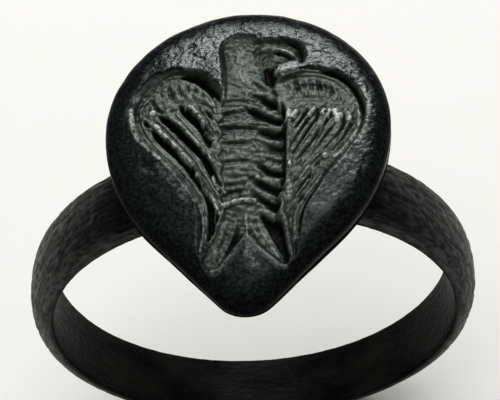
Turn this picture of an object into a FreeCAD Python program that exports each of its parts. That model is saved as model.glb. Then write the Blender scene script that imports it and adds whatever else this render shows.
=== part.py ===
# Bronze finger ring with a teardrop bezel, its face engraved with a displayed eagle.
# Origin: centre of the finger hole. +Z: up to the bezel. +Y: along the finger.
# The point of the bezel looks towards -Y.
import FreeCAD, Part
import math
import os
import Sketcher

doc = FreeCAD.newDocument("signet_ring")

# Driving sizes, in millimetres and degrees
driving_sizes = [
    # the hoop, bent from a half-round strip
    ("bore_diameter", 18.8),
    ("shoulder_width", 3.6),
    ("back_narrowing", 0.4),
    ("shoulder_crest", 1.25),
    ("back_crest", 1.0),
    ("band_edge", 0.3),
    ("edge_softening", 0.12),
    ("seat_cut", 0.15),
    ("seam_gap", 0.2),
    # the solder under the bezel
    ("solder_film", 0.1),
    ("solder_flare", 0.6),
    ("solder_length", 6.4),
    # the bezel plate
    ("bezel_half_width", 6.1),
    ("crown_rise", 0.4),
    ("flank_radius", 8.3),
    ("point_reach", 8.7),
    ("point_radius", 1.5),
    ("plate_thickness", 1.6),
    ("rim_round", 0.95),
    ("underside_bevel", 0.15),
    ("bezel_shift_x", 0.6),
    ("bezel_shift_y", 1.2),
    ("bezel_turn", -3.0),
    # the engraved eagle
    ("eagle_half_span", 5.0),
    ("cut_depth", 0.5),
    # one overrun for every cut that runs out of the metal
    ("overrun", 1.0),
]
sheet = doc.addObject("Spreadsheet::Sheet", "Sizes")
size = {}
for row, (alias, value) in enumerate(driving_sizes, start=1):
    sheet.set(f"A{row}", alias)
    sheet.set(f"B{row}", str(value))
    sheet.setAlias(f"B{row}", alias)
    size[alias] = value
doc.recompute()

BORE_RADIUS = "Sizes.bore_diameter / 2"
SEAT_LEVEL = f"{BORE_RADIUS} + Sizes.shoulder_crest - Sizes.seat_cut"
UNDERSIDE_LEVEL = f"{SEAT_LEVEL} + Sizes.solder_film"
bore_radius = size["bore_diameter"] / 2
finished_pieces = []


def origin_plane(body, role):
    """Return the named plane of a body's own origin."""
    for feature in body.Origin.OriginFeatures:
        if feature.Role == role:
            return feature


def bind(item, **expressions):
    """Tie properties of an object to the sheet; a double underscore stands for a dot."""
    for name, expression in expressions.items():
        item.setExpression(name.replace("__", "."), expression)


def constrain(sketch, name, expression, *constraint):
    """Add a dimension to a sketch and tie it to the sheet."""
    index = sketch.addConstraint(Sketcher.Constraint(*constraint))
    sketch.renameConstraint(index, name)
    sketch.setExpression(f"Constraints.{name}", expression)


def boolean(kind, name, base, tool):
    """Cut one shape by another, or keep what they share."""
    result = doc.addObject(f"Part::{kind}", name)
    result.Base = base
    result.Tool = tool
    return result


def sketch_on(body, role, name):
    """Start a sketch on one of a body's own planes."""
    sketch = body.newObject("Sketcher::SketchObject", name)
    sketch.AttachmentSupport = [(origin_plane(body, role), "")]
    sketch.MapMode = "FlatFace"
    return sketch


def closed_loop(sketch, corners, bow=None):
    """Join corners by lines, with a bow, an arc through a point, after the second corner."""
    first = sketch.GeometryCount
    points = [FreeCAD.Vector(across, level, 0) for across, level in corners]
    for index, corner in enumerate(points):
        following = points[(index + 1) % len(points)]
        if bow and index == 1:
            sketch.addGeometry(Part.Arc(corner, FreeCAD.Vector(bow[0], bow[1], 0), following))
        else:
            sketch.addGeometry(Part.LineSegment(corner, following))
    for index in range(len(points)):
        following = first + (index + 1) % len(points)
        sketch.addConstraint(Sketcher.Constraint("Coincident", first + index, 2, following, 1))


def cut_through(body, sketch, name):
    """Cut a sketch right through a body, both ways."""
    doc.recompute()
    pocket = body.newObject("PartDesign::Pocket", name)
    pocket.Profile = sketch
    pocket.Type = "ThroughAll"
    pocket.SideType = "Symmetric"
    doc.recompute()
    return pocket


# The hoop: a D-shaped strip rolled up. Its crest is centred a little above the finger hole, so the
# strip is thickest at the top.
half_blank = size["shoulder_width"] / 2 + size["edge_softening"]
crest_rise = size["shoulder_crest"] - size["band_edge"]
crest_level = bore_radius + (size["shoulder_crest"] + size["back_crest"]) / 2
foot_level = bore_radius - size["overrun"]
HALF_BLANK = "(Sizes.shoulder_width / 2 + Sizes.edge_softening)"
CREST_RISE = "(Sizes.shoulder_crest - Sizes.band_edge)"
CREST_LEVEL = f"({BORE_RADIUS} + (Sizes.shoulder_crest + Sizes.back_crest) / 2)"
hoop_blank = doc.addObject("PartDesign::Body", "hoop_blank")
section = sketch_on(hoop_blank, "YZ_Plane", "strip_section")
bind(section, AttachmentOffset__Base__y="(Sizes.shoulder_crest - Sizes.back_crest) / 2")
section_corners = [
    (half_blank, foot_level),
    (half_blank, crest_level - crest_rise),
    (-half_blank, crest_level - crest_rise),
    (-half_blank, foot_level),
]
closed_loop(section, section_corners, bow=(0, crest_level))
crest_arc, foot_line = 1, 3
section.addConstraint(Sketcher.Constraint("Symmetric", crest_arc, 1, crest_arc, 2, -2))
section.addConstraint(Sketcher.Constraint("Symmetric", foot_line, 1, foot_line, 2, -2))
section.addConstraint(Sketcher.Constraint("Vertical", 0))
crest_radius = (half_blank ** 2 + crest_rise ** 2) / (2 * crest_rise)
section_sizes = [
    ("half_width", HALF_BLANK, "DistanceX", -1, 1, crest_arc, 1, half_blank),
    ("foot_level", f"{BORE_RADIUS} - Sizes.overrun", "DistanceY", -1, 1, foot_line, 2, foot_level),
    ("edge_level", f"{CREST_LEVEL} - {CREST_RISE}", "DistanceY", -1, 1, crest_arc, 1,
     crest_level - crest_rise),
    ("crest_radius", f"({HALF_BLANK} ^ 2 + {CREST_RISE} ^ 2) / (2 * {CREST_RISE})", "Radius", crest_arc,
     crest_radius),
]
for name, expression, *constraint in section_sizes:
    constrain(section, name, expression, *constraint)
doc.recompute()
rolled_strip = hoop_blank.newObject("PartDesign::Revolution", "rolled_strip")
rolled_strip.Profile = section
rolled_strip.ReferenceAxis = (section, ["H_Axis"])

# Its sides are filed to a taper, narrower at the back
top_half = size["shoulder_width"] / 2
back_half = top_half - size["back_narrowing"] / 2
clear_level = bore_radius + size["shoulder_crest"] + size["overrun"]
CLEAR_LEVEL = f"{BORE_RADIUS} + Sizes.shoulder_crest + Sizes.overrun"
clear_across = top_half + size["overrun"]
taper = sketch_on(hoop_blank, "YZ_Plane", "side_taper")
taper_corners = [
    (top_half, clear_level),
    (back_half, -clear_level),
    (clear_across, -clear_level),
    (clear_across, clear_level),
]
closed_loop(taper, taper_corners)
closed_loop(taper, [(-across, level) for across, level in taper_corners])
for corner in range(len(taper_corners)):
    mirrored = ("Symmetric", corner, 1, corner + len(taper_corners), 1, -2)
    taper.addConstraint(Sketcher.Constraint(*mirrored))
taper.addConstraint(Sketcher.Constraint("Vertical", 2))
taper.addConstraint(Sketcher.Constraint("Horizontal", 1))
taper.addConstraint(Sketcher.Constraint("Horizontal", 3))
taper_sizes = [
    ("top_half", "Sizes.shoulder_width / 2", "DistanceX", -1, 1, 0, 1, top_half),
    ("back_half", "(Sizes.shoulder_width - Sizes.back_narrowing) / 2", "DistanceX", -1, 1, 1, 1,
     back_half),
    ("clear_across", "Sizes.shoulder_width / 2 + Sizes.overrun", "DistanceX", -1, 1, 2, 1, clear_across),
    ("clear_top", CLEAR_LEVEL, "DistanceY", -1, 1, 0, 1, clear_level),
    ("clear_back", CLEAR_LEVEL, "DistanceY", 1, 1, -1, 1, clear_level),
]
for name, expression, *constraint in taper_sizes:
    constrain(taper, name, expression, *constraint)
cut_through(hoop_blank, taper, "tapered_sides")

# The finger hole, with its two edges softened
bore = sketch_on(hoop_blank, "XZ_Plane", "bore_circle")
bore.addGeometry(Part.Circle(FreeCAD.Vector(0, 0, 0), FreeCAD.Vector(0, 0, 1), bore_radius))
bore.addConstraint(Sketcher.Constraint("Coincident", 0, 3, -1, 1))
constrain(bore, "bore_radius", BORE_RADIUS, "Radius", 0, bore_radius)
finger_hole = cut_through(hoop_blank, bore, "finger_hole")


def edges_round_bore(shape):
    """Name the edges that run round the finger hole."""
    names = []
    for index, edge in enumerate(shape.Edges, start=1):
        middle = edge.valueAt((edge.FirstParameter + edge.LastParameter) / 2)
        reach = math.hypot(middle.x, middle.z)
        if math.isclose(reach, bore_radius, abs_tol=Part.Precision.approximation()):
            if abs(middle.y) > Part.Precision.approximation():
                names.append(f"Edge{index}")
    return names


softened = hoop_blank.newObject("PartDesign::Chamfer", "softened_edges")
softened.Base = (finger_hole, edges_round_bore(finger_hole.Shape))
softened.setExpression("Size", "Sizes.edge_softening")
hoop_blank.Tip = softened

# The crown is filed flat as a seat for the plate, in the middle of which the strip's ends meet
seat = doc.addObject("Part::Box", "seat_file")
bind(
    seat,
    Length="Sizes.bore_diameter",
    Width="2 * Sizes.shoulder_width",
    Height="Sizes.shoulder_crest + Sizes.overrun",
    Placement__Base__x=f"-({BORE_RADIUS})",
    Placement__Base__y="-Sizes.shoulder_width",
    Placement__Base__z=SEAT_LEVEL,
)
closed_hoop = boolean("Cut", "closed_hoop", hoop_blank, seat)
seam = doc.addObject("Part::Box", "seam")
bind(
    seam,
    Length="Sizes.seam_gap",
    Width="2 * Sizes.shoulder_width",
    Height=f"{SEAT_LEVEL} + Sizes.overrun",
    Placement__Base__x="-Sizes.seam_gap / 2",
    Placement__Base__y="-Sizes.shoulder_width",
)
hoop = boolean("Cut", "hoop", closed_hoop, seam)
finished_pieces.append(hoop)
hoop_seam_solder = boolean("Common", "hoop_seam_solder", closed_hoop, seam)
finished_pieces.append(hoop_seam_solder)

# The solder bed: a puddle that flares where it meets the plate, sitting on the hoop
puddle_rings = []
for ring_name, flare_share, drop_share in (("foot", 0, 1), ("waist", 0.3, 0.4), ("mouth", 1, 0)):
    ring = doc.addObject("Part::Ellipse", f"solder_{ring_name}")
    flare = f"Sizes.solder_flare * {flare_share}"
    drop = f"({UNDERSIDE_LEVEL} - {BORE_RADIUS} - Sizes.band_edge) * {drop_share}"
    bind(
        ring,
        MajorRadius=f"Sizes.solder_length / 2 + {flare}",
        MinorRadius=f"Sizes.shoulder_width / 2 + {flare}",
        Placement__Base__z=f"{UNDERSIDE_LEVEL} - {drop}",
    )
    puddle_rings.append(ring)
puddle = doc.addObject("Part::Loft", "solder_puddle")
puddle.Sections = puddle_rings
puddle.Solid = True
puddle.Ruled = True
bezel_solder = boolean("Cut", "bezel_solder", puddle, closed_hoop)
finished_pieces.append(bezel_solder)


# The bezel plate: a round crown drawn out by bowed, then straight flanks to a rounded point
def bezel_outline(body):
    """Draw the teardrop; the sketch's origin is the middle of the eagle."""
    crown, flank_radius, rise = size["bezel_half_width"], size["flank_radius"], size["crown_rise"]
    point, reach = size["point_radius"], size["point_reach"]
    offset = flank_radius - crown
    point_y = point - reach
    drop = point_y - rise
    flank = math.atan2(drop, offset) + math.acos((flank_radius - point) / math.hypot(offset, drop))

    def circle_at(x, y, radius):
        return Part.Circle(FreeCAD.Vector(x, y, 0), FreeCAD.Vector(0, 0, 1), radius)

    def on_circle(x, y, radius, angle):
        return FreeCAD.Vector(x + radius * math.cos(angle), y + radius * math.sin(angle), 0)

    sketch = sketch_on(body, "XY_Plane", "bezel_outline")
    right = circle_at(-offset, rise, flank_radius)
    left = circle_at(offset, rise, flank_radius)
    sketch.addGeometry(Part.ArcOfCircle(right, flank, 0))
    sketch.addGeometry(Part.ArcOfCircle(circle_at(0, rise, crown), 0, math.pi))
    sketch.addGeometry(Part.ArcOfCircle(left, math.pi, math.pi - flank))
    left_top = on_circle(offset, rise, flank_radius, math.pi - flank)
    left_foot = on_circle(0, point_y, point, math.pi - flank)
    sketch.addGeometry(Part.LineSegment(left_top, left_foot))
    tip = circle_at(0, point_y, point)
    sketch.addGeometry(Part.ArcOfCircle(tip, math.pi - flank, 2 * math.pi + flank))
    right_foot = on_circle(0, point_y, point, flank)
    right_top = on_circle(-offset, rise, flank_radius, flank)
    sketch.addGeometry(Part.LineSegment(right_foot, right_top))
    edge_count = 6
    for edge in range(edge_count):
        following = (edge + 1) % edge_count
        sketch.addConstraint(Sketcher.Constraint("Tangent", edge, 2, following, 1))
    for centred_arc in (1, 4):
        sketch.addConstraint(Sketcher.Constraint("PointOnObject", centred_arc, 3, -2))
    for flank_arc in (0, 2):
        sketch.addConstraint(Sketcher.Constraint("Horizontal", flank_arc, 3, 1, 3))
    sketch.addConstraint(Sketcher.Constraint("Equal", 0, 2))
    constrain(sketch, "flank_radius", "Sizes.flank_radius", "Radius", 0, flank_radius)
    constrain(sketch, "crown_radius", "Sizes.bezel_half_width", "Radius", 1, crown)
    constrain(sketch, "point_radius", "Sizes.point_radius", "Radius", 4, point)
    constrain(sketch, "crown_rise", "Sizes.crown_rise", "DistanceY", -1, 1, 1, 3, rise)
    point_drop = "Sizes.point_reach - Sizes.point_radius"
    constrain(sketch, "point_drop", point_drop, "DistanceY", 4, 3, -1, 1, -point_y)
    return sketch


blank = doc.addObject("PartDesign::Body", "bezel_blank")
outline = bezel_outline(blank)
doc.recompute()
plate = blank.newObject("PartDesign::Pad", "plate")
plate.Profile = outline
plate.setExpression("Length", "Sizes.plate_thickness")
doc.recompute()


def edges_at(shape, level):
    """Name the edges that lie flat at one level."""
    names = []
    for index, edge in enumerate(shape.Edges, start=1):
        middle = edge.valueAt((edge.FirstParameter + edge.LastParameter) / 2)
        heights = [vertex.Z for vertex in edge.Vertexes] + [middle.z]
        if all(math.isclose(height, level, abs_tol=Part.Precision.approximation()) for height in heights):
            names.append(f"Edge{index}")
    return names


rim = blank.newObject("PartDesign::Fillet", "rounded_rim")
rim.Base = (plate, edges_at(plate.Shape, size["plate_thickness"]))
rim.setExpression("Radius", "Sizes.rim_round")
doc.recompute()
bevel = blank.newObject("PartDesign::Chamfer", "underside_bevel")
bevel.Base = (rim, edges_at(rim.Shape, 0))
bevel.setExpression("Size", "Sizes.underside_bevel")
blank.Tip = bevel


# The eagle, sunk into the face with a graver. Places and widths are shares of its half span, measured
# from the middle of the plate's widest level; depths are shares of the depth of cut.
engraving = []
SPAN = "Sizes.eagle_half_span"
DEPTH = "Sizes.cut_depth"
FACE = "Sizes.plate_thickness"


def graver_cut(name, start_share, end_share, width_share, depth_share, floor_share=0, lean_share=0,
               square_ends=(False, False)):
    """Sink one boat-shaped cut: a wedge whose keel or flat floor points down into the face."""
    run_x, run_y = end_share[0] - start_share[0], end_share[1] - start_share[1]
    length_share = math.hypot(run_x, run_y)
    start_slope, end_slope = (0 if square else width_share / 2 for square in square_ends)
    along = FreeCAD.Vector(run_x, run_y, 0).normalize()
    down = FreeCAD.Vector(0, 0, -1)
    cut = doc.addObject("Part::Wedge", name)
    cut.Placement.Rotation = FreeCAD.Rotation(along, down, along.cross(down), "XYZ")
    depth = f"{DEPTH} * {depth_share}"
    bind(
        cut,
        Xmin=f"{SPAN} * {-start_slope}",
        Xmax=f"{SPAN} * {length_share + end_slope}",
        X2min=f"{SPAN} * {start_slope}",
        X2max=f"{SPAN} * {length_share - end_slope}",
        Zmin=f"{SPAN} * {floor_share / 2 - width_share - lean_share}",
        Zmax=f"{SPAN} * {width_share - floor_share / 2 - lean_share}",
        Z2min=f"{SPAN} * {lean_share - floor_share / 2}",
        Z2max=f"{SPAN} * {lean_share + floor_share / 2}",
        Ymin=f"-{depth}",
        Ymax=depth,
        Placement__Base__x=f"{SPAN} * {start_share[0]}",
        Placement__Base__y=f"{SPAN} * {start_share[1]}",
        Placement__Base__z=FACE,
    )
    engraving.append(cut)


def graver_line(name, point_shares, width_share, depth_share):
    """Sink a bent line as straight cuts, square where they run into each other at its bends."""
    slack_share = 0.1
    runs = [(end[0] - start[0], end[1] - start[1]) for start, end in zip(point_shares, point_shares[1:])]
    headings = [math.atan2(run[1], run[0]) for run in runs]
    overlaps = [
        width_share / 2 * (abs(math.tan((after - before) / 2)) + slack_share)
        for before, after in zip(headings, headings[1:])
    ]
    for index, heading in enumerate(headings):
        before = overlaps[index - 1] if index > 0 else 0
        after = overlaps[index] if index < len(overlaps) else 0
        (start_x, start_y), (end_x, end_y) = point_shares[index], point_shares[index + 1]
        start = (start_x - before * math.cos(heading), start_y - before * math.sin(heading))
        end = (end_x + after * math.cos(heading), end_y + after * math.sin(heading))
        square_ends = (before > 0, after > 0)
        cut_name = f"{name}_{index + 1}"
        graver_cut(cut_name, start, end, width_share, depth_share, square_ends=square_ends)


def bow_shares(middle_share, radius_share, first_angle, last_angle):
    """Return points evenly spaced along an arc."""
    steps = 9
    points = []
    for step in range(steps + 1):
        angle = math.radians(first_angle + (last_angle - first_angle) * step / steps)
        x = middle_share[0] + radius_share * math.cos(angle)
        points.append((x, middle_share[1] + radius_share * math.sin(angle)))
    return points


def hollow(name, middle_share, length_share, width_share, depth_share, turn):
    """Sink a rounded hollow, an ellipsoid centred in the face."""
    bowl = doc.addObject("Part::Ellipsoid", name)
    bowl.Placement.Rotation = FreeCAD.Rotation(FreeCAD.Vector(0, 0, 1), turn)
    bind(
        bowl,
        Radius1=f"{DEPTH} * {depth_share}",
        Radius2=f"{SPAN} * {length_share / 2}",
        Radius3=f"{SPAN} * {width_share / 2}",
        Placement__Base__x=f"{SPAN} * {middle_share[0]}",
        Placement__Base__y=f"{SPAN} * {middle_share[1]}",
        Placement__Base__z=FACE,
    )
    engraving.append(bowl)


# Head turned to the right, hooked beak, throat and neck
hollow("head", middle_share=(-0.05, 0.78), length_share=0.32, width_share=0.34, depth_share=0.9, turn=0)
graver_cut("neck", (-0.06, 0.74), (-0.05, 0.34), width_share=0.30, depth_share=0.7, floor_share=0.2)
graver_cut("throat", (0.16, 0.60), (0.21, 0.34), width_share=0.1, depth_share=1.0)
beak_shares = [(0.10, 0.81), (0.32, 0.80), (0.43, 0.74), (0.47, 0.62)]
graver_line("beak", beak_shares, width_share=0.15, depth_share=0.8)
graver_line("mandible", [(0.10, 0.68), (0.36, 0.64)], width_share=0.1, depth_share=0.7)

# Rounded shoulders of the wings, their bow-shaped leading edges and the short feathers on them
shoulder_shares = {"left": ((-0.58, 0.33), 0.58, 0.32), "right": ((0.60, 0.30), 0.70, 0.36)}
shoulder_turn = {"left": -8, "right": -4}
for side, (middle_share, length_share, width_share) in shoulder_shares.items():
    hollow(f"{side}_shoulder", middle_share, length_share, width_share, 0.7, shoulder_turn[side])
leading_edge_shares = {
    "left": bow_shares(middle_share=(-0.58, 0.26), radius_share=0.285, first_angle=165, last_angle=15),
    "right": bow_shares(middle_share=(0.60, 0.18), radius_share=0.325, first_angle=140, last_angle=-5),
}
for side, point_shares in leading_edge_shares.items():
    graver_line(f"{side}_leading_edge", point_shares, width_share=0.15, depth_share=0.8)
short_feather_shares = {
    "left": [(-0.77, 0.40), (-0.66, 0.45), (-0.54, 0.46), (-0.42, 0.43)],
    "right": [(0.34, 0.40), (0.45, 0.45), (0.57, 0.46), (0.69, 0.43), (0.80, 0.36)],
}
short_length_share = 0.24
for side, tops in short_feather_shares.items():
    for index, (x, y) in enumerate(tops, start=1):
        foot = (x, y - short_length_share)
        graver_cut(f"{side}_short_feather_{index}", (x, y), foot, width_share=0.05, depth_share=0.9)

# Long wing feathers, from the shoulders down to the flanks
left_feather_shares = [
    [(-0.89, 0.12), (-0.74, -0.09), (-0.51, -0.38), (-0.38, -0.68), (-0.33, -0.92), (-0.30, -1.12)],
    [(-0.78, 0.08), (-0.60, -0.20), (-0.42, -0.48), (-0.29, -0.76)],
    [(-0.67, 0.14), (-0.48, -0.16), (-0.33, -0.45), (-0.22, -0.72)],
    [(-0.54, 0.14), (-0.40, -0.10), (-0.28, -0.32)],
    [(-0.38, 0.18), (-0.28, -0.05)],
]
right_feather_shares = [
    [(0.42, 0.11), (0.36, -0.01)],
    [(0.49, 0.12), (0.37, -0.17)],
    [(0.58, 0.11), (0.38, -0.33)],
    [(0.66, 0.10), (0.39, -0.44)],
    [(0.74, 0.07), (0.41, -0.54)],
    [(0.83, 0.06), (0.56, -0.45), (0.42, -0.68)],
    [(0.95, 0.12), (0.80, -0.27), (0.60, -0.58), (0.44, -0.82), (0.39, -1.08)],
]
for index, point_shares in enumerate(left_feather_shares, start=1):
    graver_line(f"left_feather_{index}", point_shares, width_share=0.07, depth_share=0.75)
for index, point_shares in enumerate(right_feather_shares, start=1):
    graver_line(f"right_feather_{index}", point_shares, width_share=0.06, depth_share=0.7)

# Body: a flat-floored trough crossed by bars, level on the left and slanting on the right
graver_cut("body", (0.06, 0.44), (0.06, -0.84), width_share=0.56, depth_share=0.8, floor_share=0.48)
bar_depth_share, bar_lean_share = 1.3, 0.02
left_bar_shares = [0.27, 0.15, 0.03, -0.09, -0.20, -0.31, -0.42, -0.53, -0.64]
right_bar_shares = [0.22, 0.08, -0.05, -0.19, -0.32, -0.46, -0.59, -0.71]
left_run_share, right_run_share = (0.27, 0.01), (0.28, -0.12)
for side, left_end_share, run_share, width_share, levels in (
    ("left", -0.21, left_run_share, 0.07, left_bar_shares),
    ("right", 0.05, right_run_share, 0.08, right_bar_shares),
):
    for index, y in enumerate(levels, start=1):
        far_end = (left_end_share + run_share[0], y + run_share[1])
        near_end = (left_end_share, y)
        name = f"{side}_bar_{index}"
        graver_cut(name, near_end, far_end, width_share, bar_depth_share, lean_share=bar_lean_share)

# Tail: two lobes, parted by bare metal, each with its own grooves
tail_depth_share = 0.65
graver_cut("left_tail", (-0.06, -0.84), (-0.24, -1.42), 0.22, tail_depth_share, floor_share=0.14)
graver_cut("right_tail", (0.06, -0.88), (0.32, -1.32), 0.14, tail_depth_share, floor_share=0.06)
tail_groove_shares = [
    [(-0.10, -1.00), (-0.21, -1.38)],
    [(-0.02, -1.04), (-0.15, -1.34)],
    [(0.05, -1.00), (0.26, -1.32)],
    [(0.12, -0.93), (0.34, -1.38)],
]
for index, point_shares in enumerate(tail_groove_shares, start=1):
    graver_line(f"tail_groove_{index}", point_shares, width_share=0.06, depth_share=0.95)
graver_cut("tail_hollow", (0.21, -0.90), (0.32, -1.26), width_share=0.14, depth_share=1.0)

# The engraved plate is turned and set on the hoop as the maker set it, a little off its middle
eagle = doc.addObject("Part::MultiFuse", "eagle")
eagle.Shapes = engraving
bezel = boolean("Cut", "bezel", blank, eagle)
bezel.Placement.Rotation = FreeCAD.Rotation(FreeCAD.Vector(0, 0, 1), size["bezel_turn"])
bind(
    bezel,
    Placement__Base__x="Sizes.bezel_shift_x",
    Placement__Base__y="Sizes.bezel_shift_y",
    Placement__Base__z=UNDERSIDE_LEVEL,
)
finished_pieces.append(bezel)
doc.recompute()

# Nothing is written unless every object is sound
for item in doc.Objects:
    if "Invalid" in item.State or "Error" in item.State:
        raise RuntimeError(f"{item.Name} did not build: {item.State}")
for piece in finished_pieces:
    piece.Label = piece.Name
    if piece.Shape.isNull() or not piece.Shape.isValid():
        raise RuntimeError(f"{piece.Name} is not a sound solid")
os.makedirs("parts", exist_ok=True)
for piece in finished_pieces:
    piece.Shape.exportStep(f"parts/{piece.Label}.step")
    print(f"{piece.Label}: {len(piece.Shape.Solids)} solid, {piece.Shape.Volume:.3f} mm3")
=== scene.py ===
import math

import bpy
import numpy as np
from mathutils import Matrix, Vector


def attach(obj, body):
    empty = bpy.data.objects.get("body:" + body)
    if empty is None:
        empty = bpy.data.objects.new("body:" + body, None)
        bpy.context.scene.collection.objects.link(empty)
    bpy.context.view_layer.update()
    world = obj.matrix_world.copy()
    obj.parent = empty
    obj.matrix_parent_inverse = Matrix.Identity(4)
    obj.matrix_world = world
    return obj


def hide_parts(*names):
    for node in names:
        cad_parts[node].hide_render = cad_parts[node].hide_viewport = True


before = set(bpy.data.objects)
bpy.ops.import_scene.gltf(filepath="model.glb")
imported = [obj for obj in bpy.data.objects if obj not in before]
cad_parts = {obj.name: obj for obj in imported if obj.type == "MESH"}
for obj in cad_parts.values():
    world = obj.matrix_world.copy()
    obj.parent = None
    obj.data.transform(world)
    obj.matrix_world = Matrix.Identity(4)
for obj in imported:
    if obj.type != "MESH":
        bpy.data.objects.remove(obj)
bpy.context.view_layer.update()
MM = 0.001

# The camera looks down on the bezel from the front, rolled a little to one side, as the ring was
# photographed. Distances are in millimetres; the focal length is in pixels of a 500-pixel-wide frame.
view_yaw = math.radians(3.81)
view_elevation = math.radians(55.82)
view_roll = math.radians(-7.50)
view_distance = 80.0
view_offset_right, view_offset_up = -0.17, 4.49
focal_pixels, frame_width_pixels = 1677.0, 500.0
back = Vector((
    math.sin(view_yaw) * math.cos(view_elevation),
    -math.cos(view_yaw) * math.cos(view_elevation),
    math.sin(view_elevation),
))
level_right = Vector((math.cos(view_yaw), math.sin(view_yaw), 0.0))
level_up = back.cross(level_right)
right = math.cos(view_roll) * level_right + math.sin(view_roll) * level_up
up = back.cross(right)
camera_data = bpy.data.cameras.new("photo_view")
camera_data.sensor_width = 36.0
camera_data.lens = focal_pixels / frame_width_pixels * camera_data.sensor_width
camera_data.clip_start = 0.005
camera_data.clip_end = 5.0
camera = bpy.data.objects.new("photo_view", camera_data)
bpy.context.scene.collection.objects.link(camera)
place = (view_offset_right * right + view_offset_up * up + view_distance * back) * MM
camera.matrix_world = Matrix((
    (right.x, up.x, back.x, place.x),
    (right.y, up.y, back.y, place.y),
    (right.z, up.z, back.z, place.z),
    (0, 0, 0, 1),
))
bpy.context.scene.camera = camera


# The ring stands on a plain pale table in a dim room, under softboxes hung behind it. The black
# metal mirrors the softboxes on its face and rims, and the dim room everywhere else.
def linear(hex_colour):
    """Turn an sRGB hex colour into linear RGBA."""
    channels = [int(hex_colour[i:i + 2], 16) / 255 for i in (1, 3, 5)]
    return [c / 12.92 if c <= 0.04045 else ((c + 0.055) / 1.055) ** 2.4 for c in channels] + [1.0]


def add_node(tree, kind, inputs=None, **settings):
    """Add a node with its settings; its inputs are values, sockets, or nodes with one main output."""
    node = tree.nodes.new(kind)
    for name, value in settings.items():
        setattr(node, name, value)
    for socket, value in (inputs or {}).items():
        if isinstance(value, bpy.types.Node):
            value = value.outputs[0]
        if isinstance(value, bpy.types.NodeSocket):
            tree.links.new(value, node.inputs[socket])
        else:
            node.inputs[socket].default_value = value
    return node


def set_ends(ramp, dark, pale, start=0.0, end=1.0):
    """Set the two colours of a colour ramp and where they stand on it."""
    for element, colour, position in zip(ramp.color_ramp.elements, (dark, pale), (start, end)):
        element.color = linear(colour)
        element.position = position


def new_material(name):
    """Start an empty material and return it with its node tree."""
    material = bpy.data.materials.new(name)
    material.use_nodes = True
    material.node_tree.nodes.clear()
    return material, material.node_tree


table_level = -10.42 * MM
table_reach = 0.6
table_mesh = bpy.data.meshes.new("table")
corners = [(-table_reach, -table_reach), (table_reach, -table_reach),
           (table_reach, table_reach), (-table_reach, table_reach)]
table_mesh.from_pydata([(x, y, table_level) for x, y in corners], [], [(0, 1, 2, 3)])
table = bpy.data.objects.new("table", table_mesh)
bpy.context.scene.collection.objects.link(table)

# Matt white card: an even, warm-white surface with no gloss
card_material, tree = new_material("matt_white_card")
card = add_node(tree, "ShaderNodeBsdfDiffuse", {"Color": linear("#FCFBF7"), "Roughness": 0.5})
add_node(tree, "ShaderNodeOutputMaterial", {"Surface": card})
table_mesh.materials.append(card_material)

# The room: dim on the camera's side and overhead, paler towards the back
world = bpy.data.worlds.new("studio_room")
world.use_nodes = True
bpy.context.scene.world = world
tree = world.node_tree
tree.nodes.clear()
heading = add_node(tree, "ShaderNodeTexCoord").outputs["Generated"]
pale_side = (0.22, 0.97, 0.0)
facing = add_node(tree, "ShaderNodeVectorMath", {
    0: heading, 1: pale_side}, operation="DOT_PRODUCT").outputs["Value"]
share_pale = add_node(tree, "ShaderNodeMapRange", {
    "Value": facing, "From Min": -0.2, "From Max": 1.0}, interpolation_type="SMOOTHSTEP")
room_colour = add_node(tree, "ShaderNodeValToRGB", {"Fac": share_pale})
set_ends(room_colour, "#1A1B1D", "#34363A")
room = add_node(tree, "ShaderNodeBackground", {"Color": room_colour, "Strength": 1.0})
add_node(tree, "ShaderNodeOutputWorld", {"Surface": room})


def add_softbox(name, heading, elevation, distance, width, height, brightness, mirrored):
    """Hang a softbox that faces the ring, with its heading in degrees clockwise from the back."""
    turn, tilt = math.radians(heading), math.radians(elevation)
    data = bpy.data.lights.new(name, "AREA")
    data.shape = "RECTANGLE"
    data.size, data.size_y = width, height
    data.energy = brightness * math.pi * width * height
    lamp = bpy.data.objects.new(name, data)
    bpy.context.scene.collection.objects.link(lamp)
    away = Vector((math.sin(turn) * math.cos(tilt), math.cos(turn) * math.cos(tilt), math.sin(tilt)))
    lamp.location = away * distance
    lamp.rotation_euler = away.to_track_quat("Z", "Y").to_euler()
    lamp.visible_glossy = mirrored


add_softbox("key_softbox", 6, 42, 0.26, 0.13, 0.06, 16.0, True)
add_softbox("side_softbox", 19, 66, 0.30, 0.11, 0.05, 3.6, True)
add_softbox("overhead_fill", -20, 80, 0.42, 0.40, 0.40, 2.6, False)

bpy.context.scene.view_settings.view_transform = "Standard"

# The hoop: a half-round bronze strip, forged, rolled round a mandrel and filed to a taper towards
# the back. Long wear and burial left it covered in fine slanting wrinkles under a black skin.
BORE_RADIUS, SEAT_LEVEL = 9.4, 10.5
strip = {
    "Bore radius": BORE_RADIUS * MM,
    "Width at the shoulders": 3.6 * MM,
    "Width at the back": 3.2 * MM,
    "Crest at the shoulders": 1.25 * MM,
    "Crest at the back": 1.0 * MM,
    "Edge height": 0.42 * MM,
    "Seat level": SEAT_LEVEL * MM,
    "Seam half angle": 0.0106,
    "Wrinkle height": 0.12 * MM,
    "Wrinkle length": 1.2 * MM,
    "Wrinkle width": 0.21 * MM,
}
strip_steps_round, strip_steps_across = 840, 116

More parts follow.
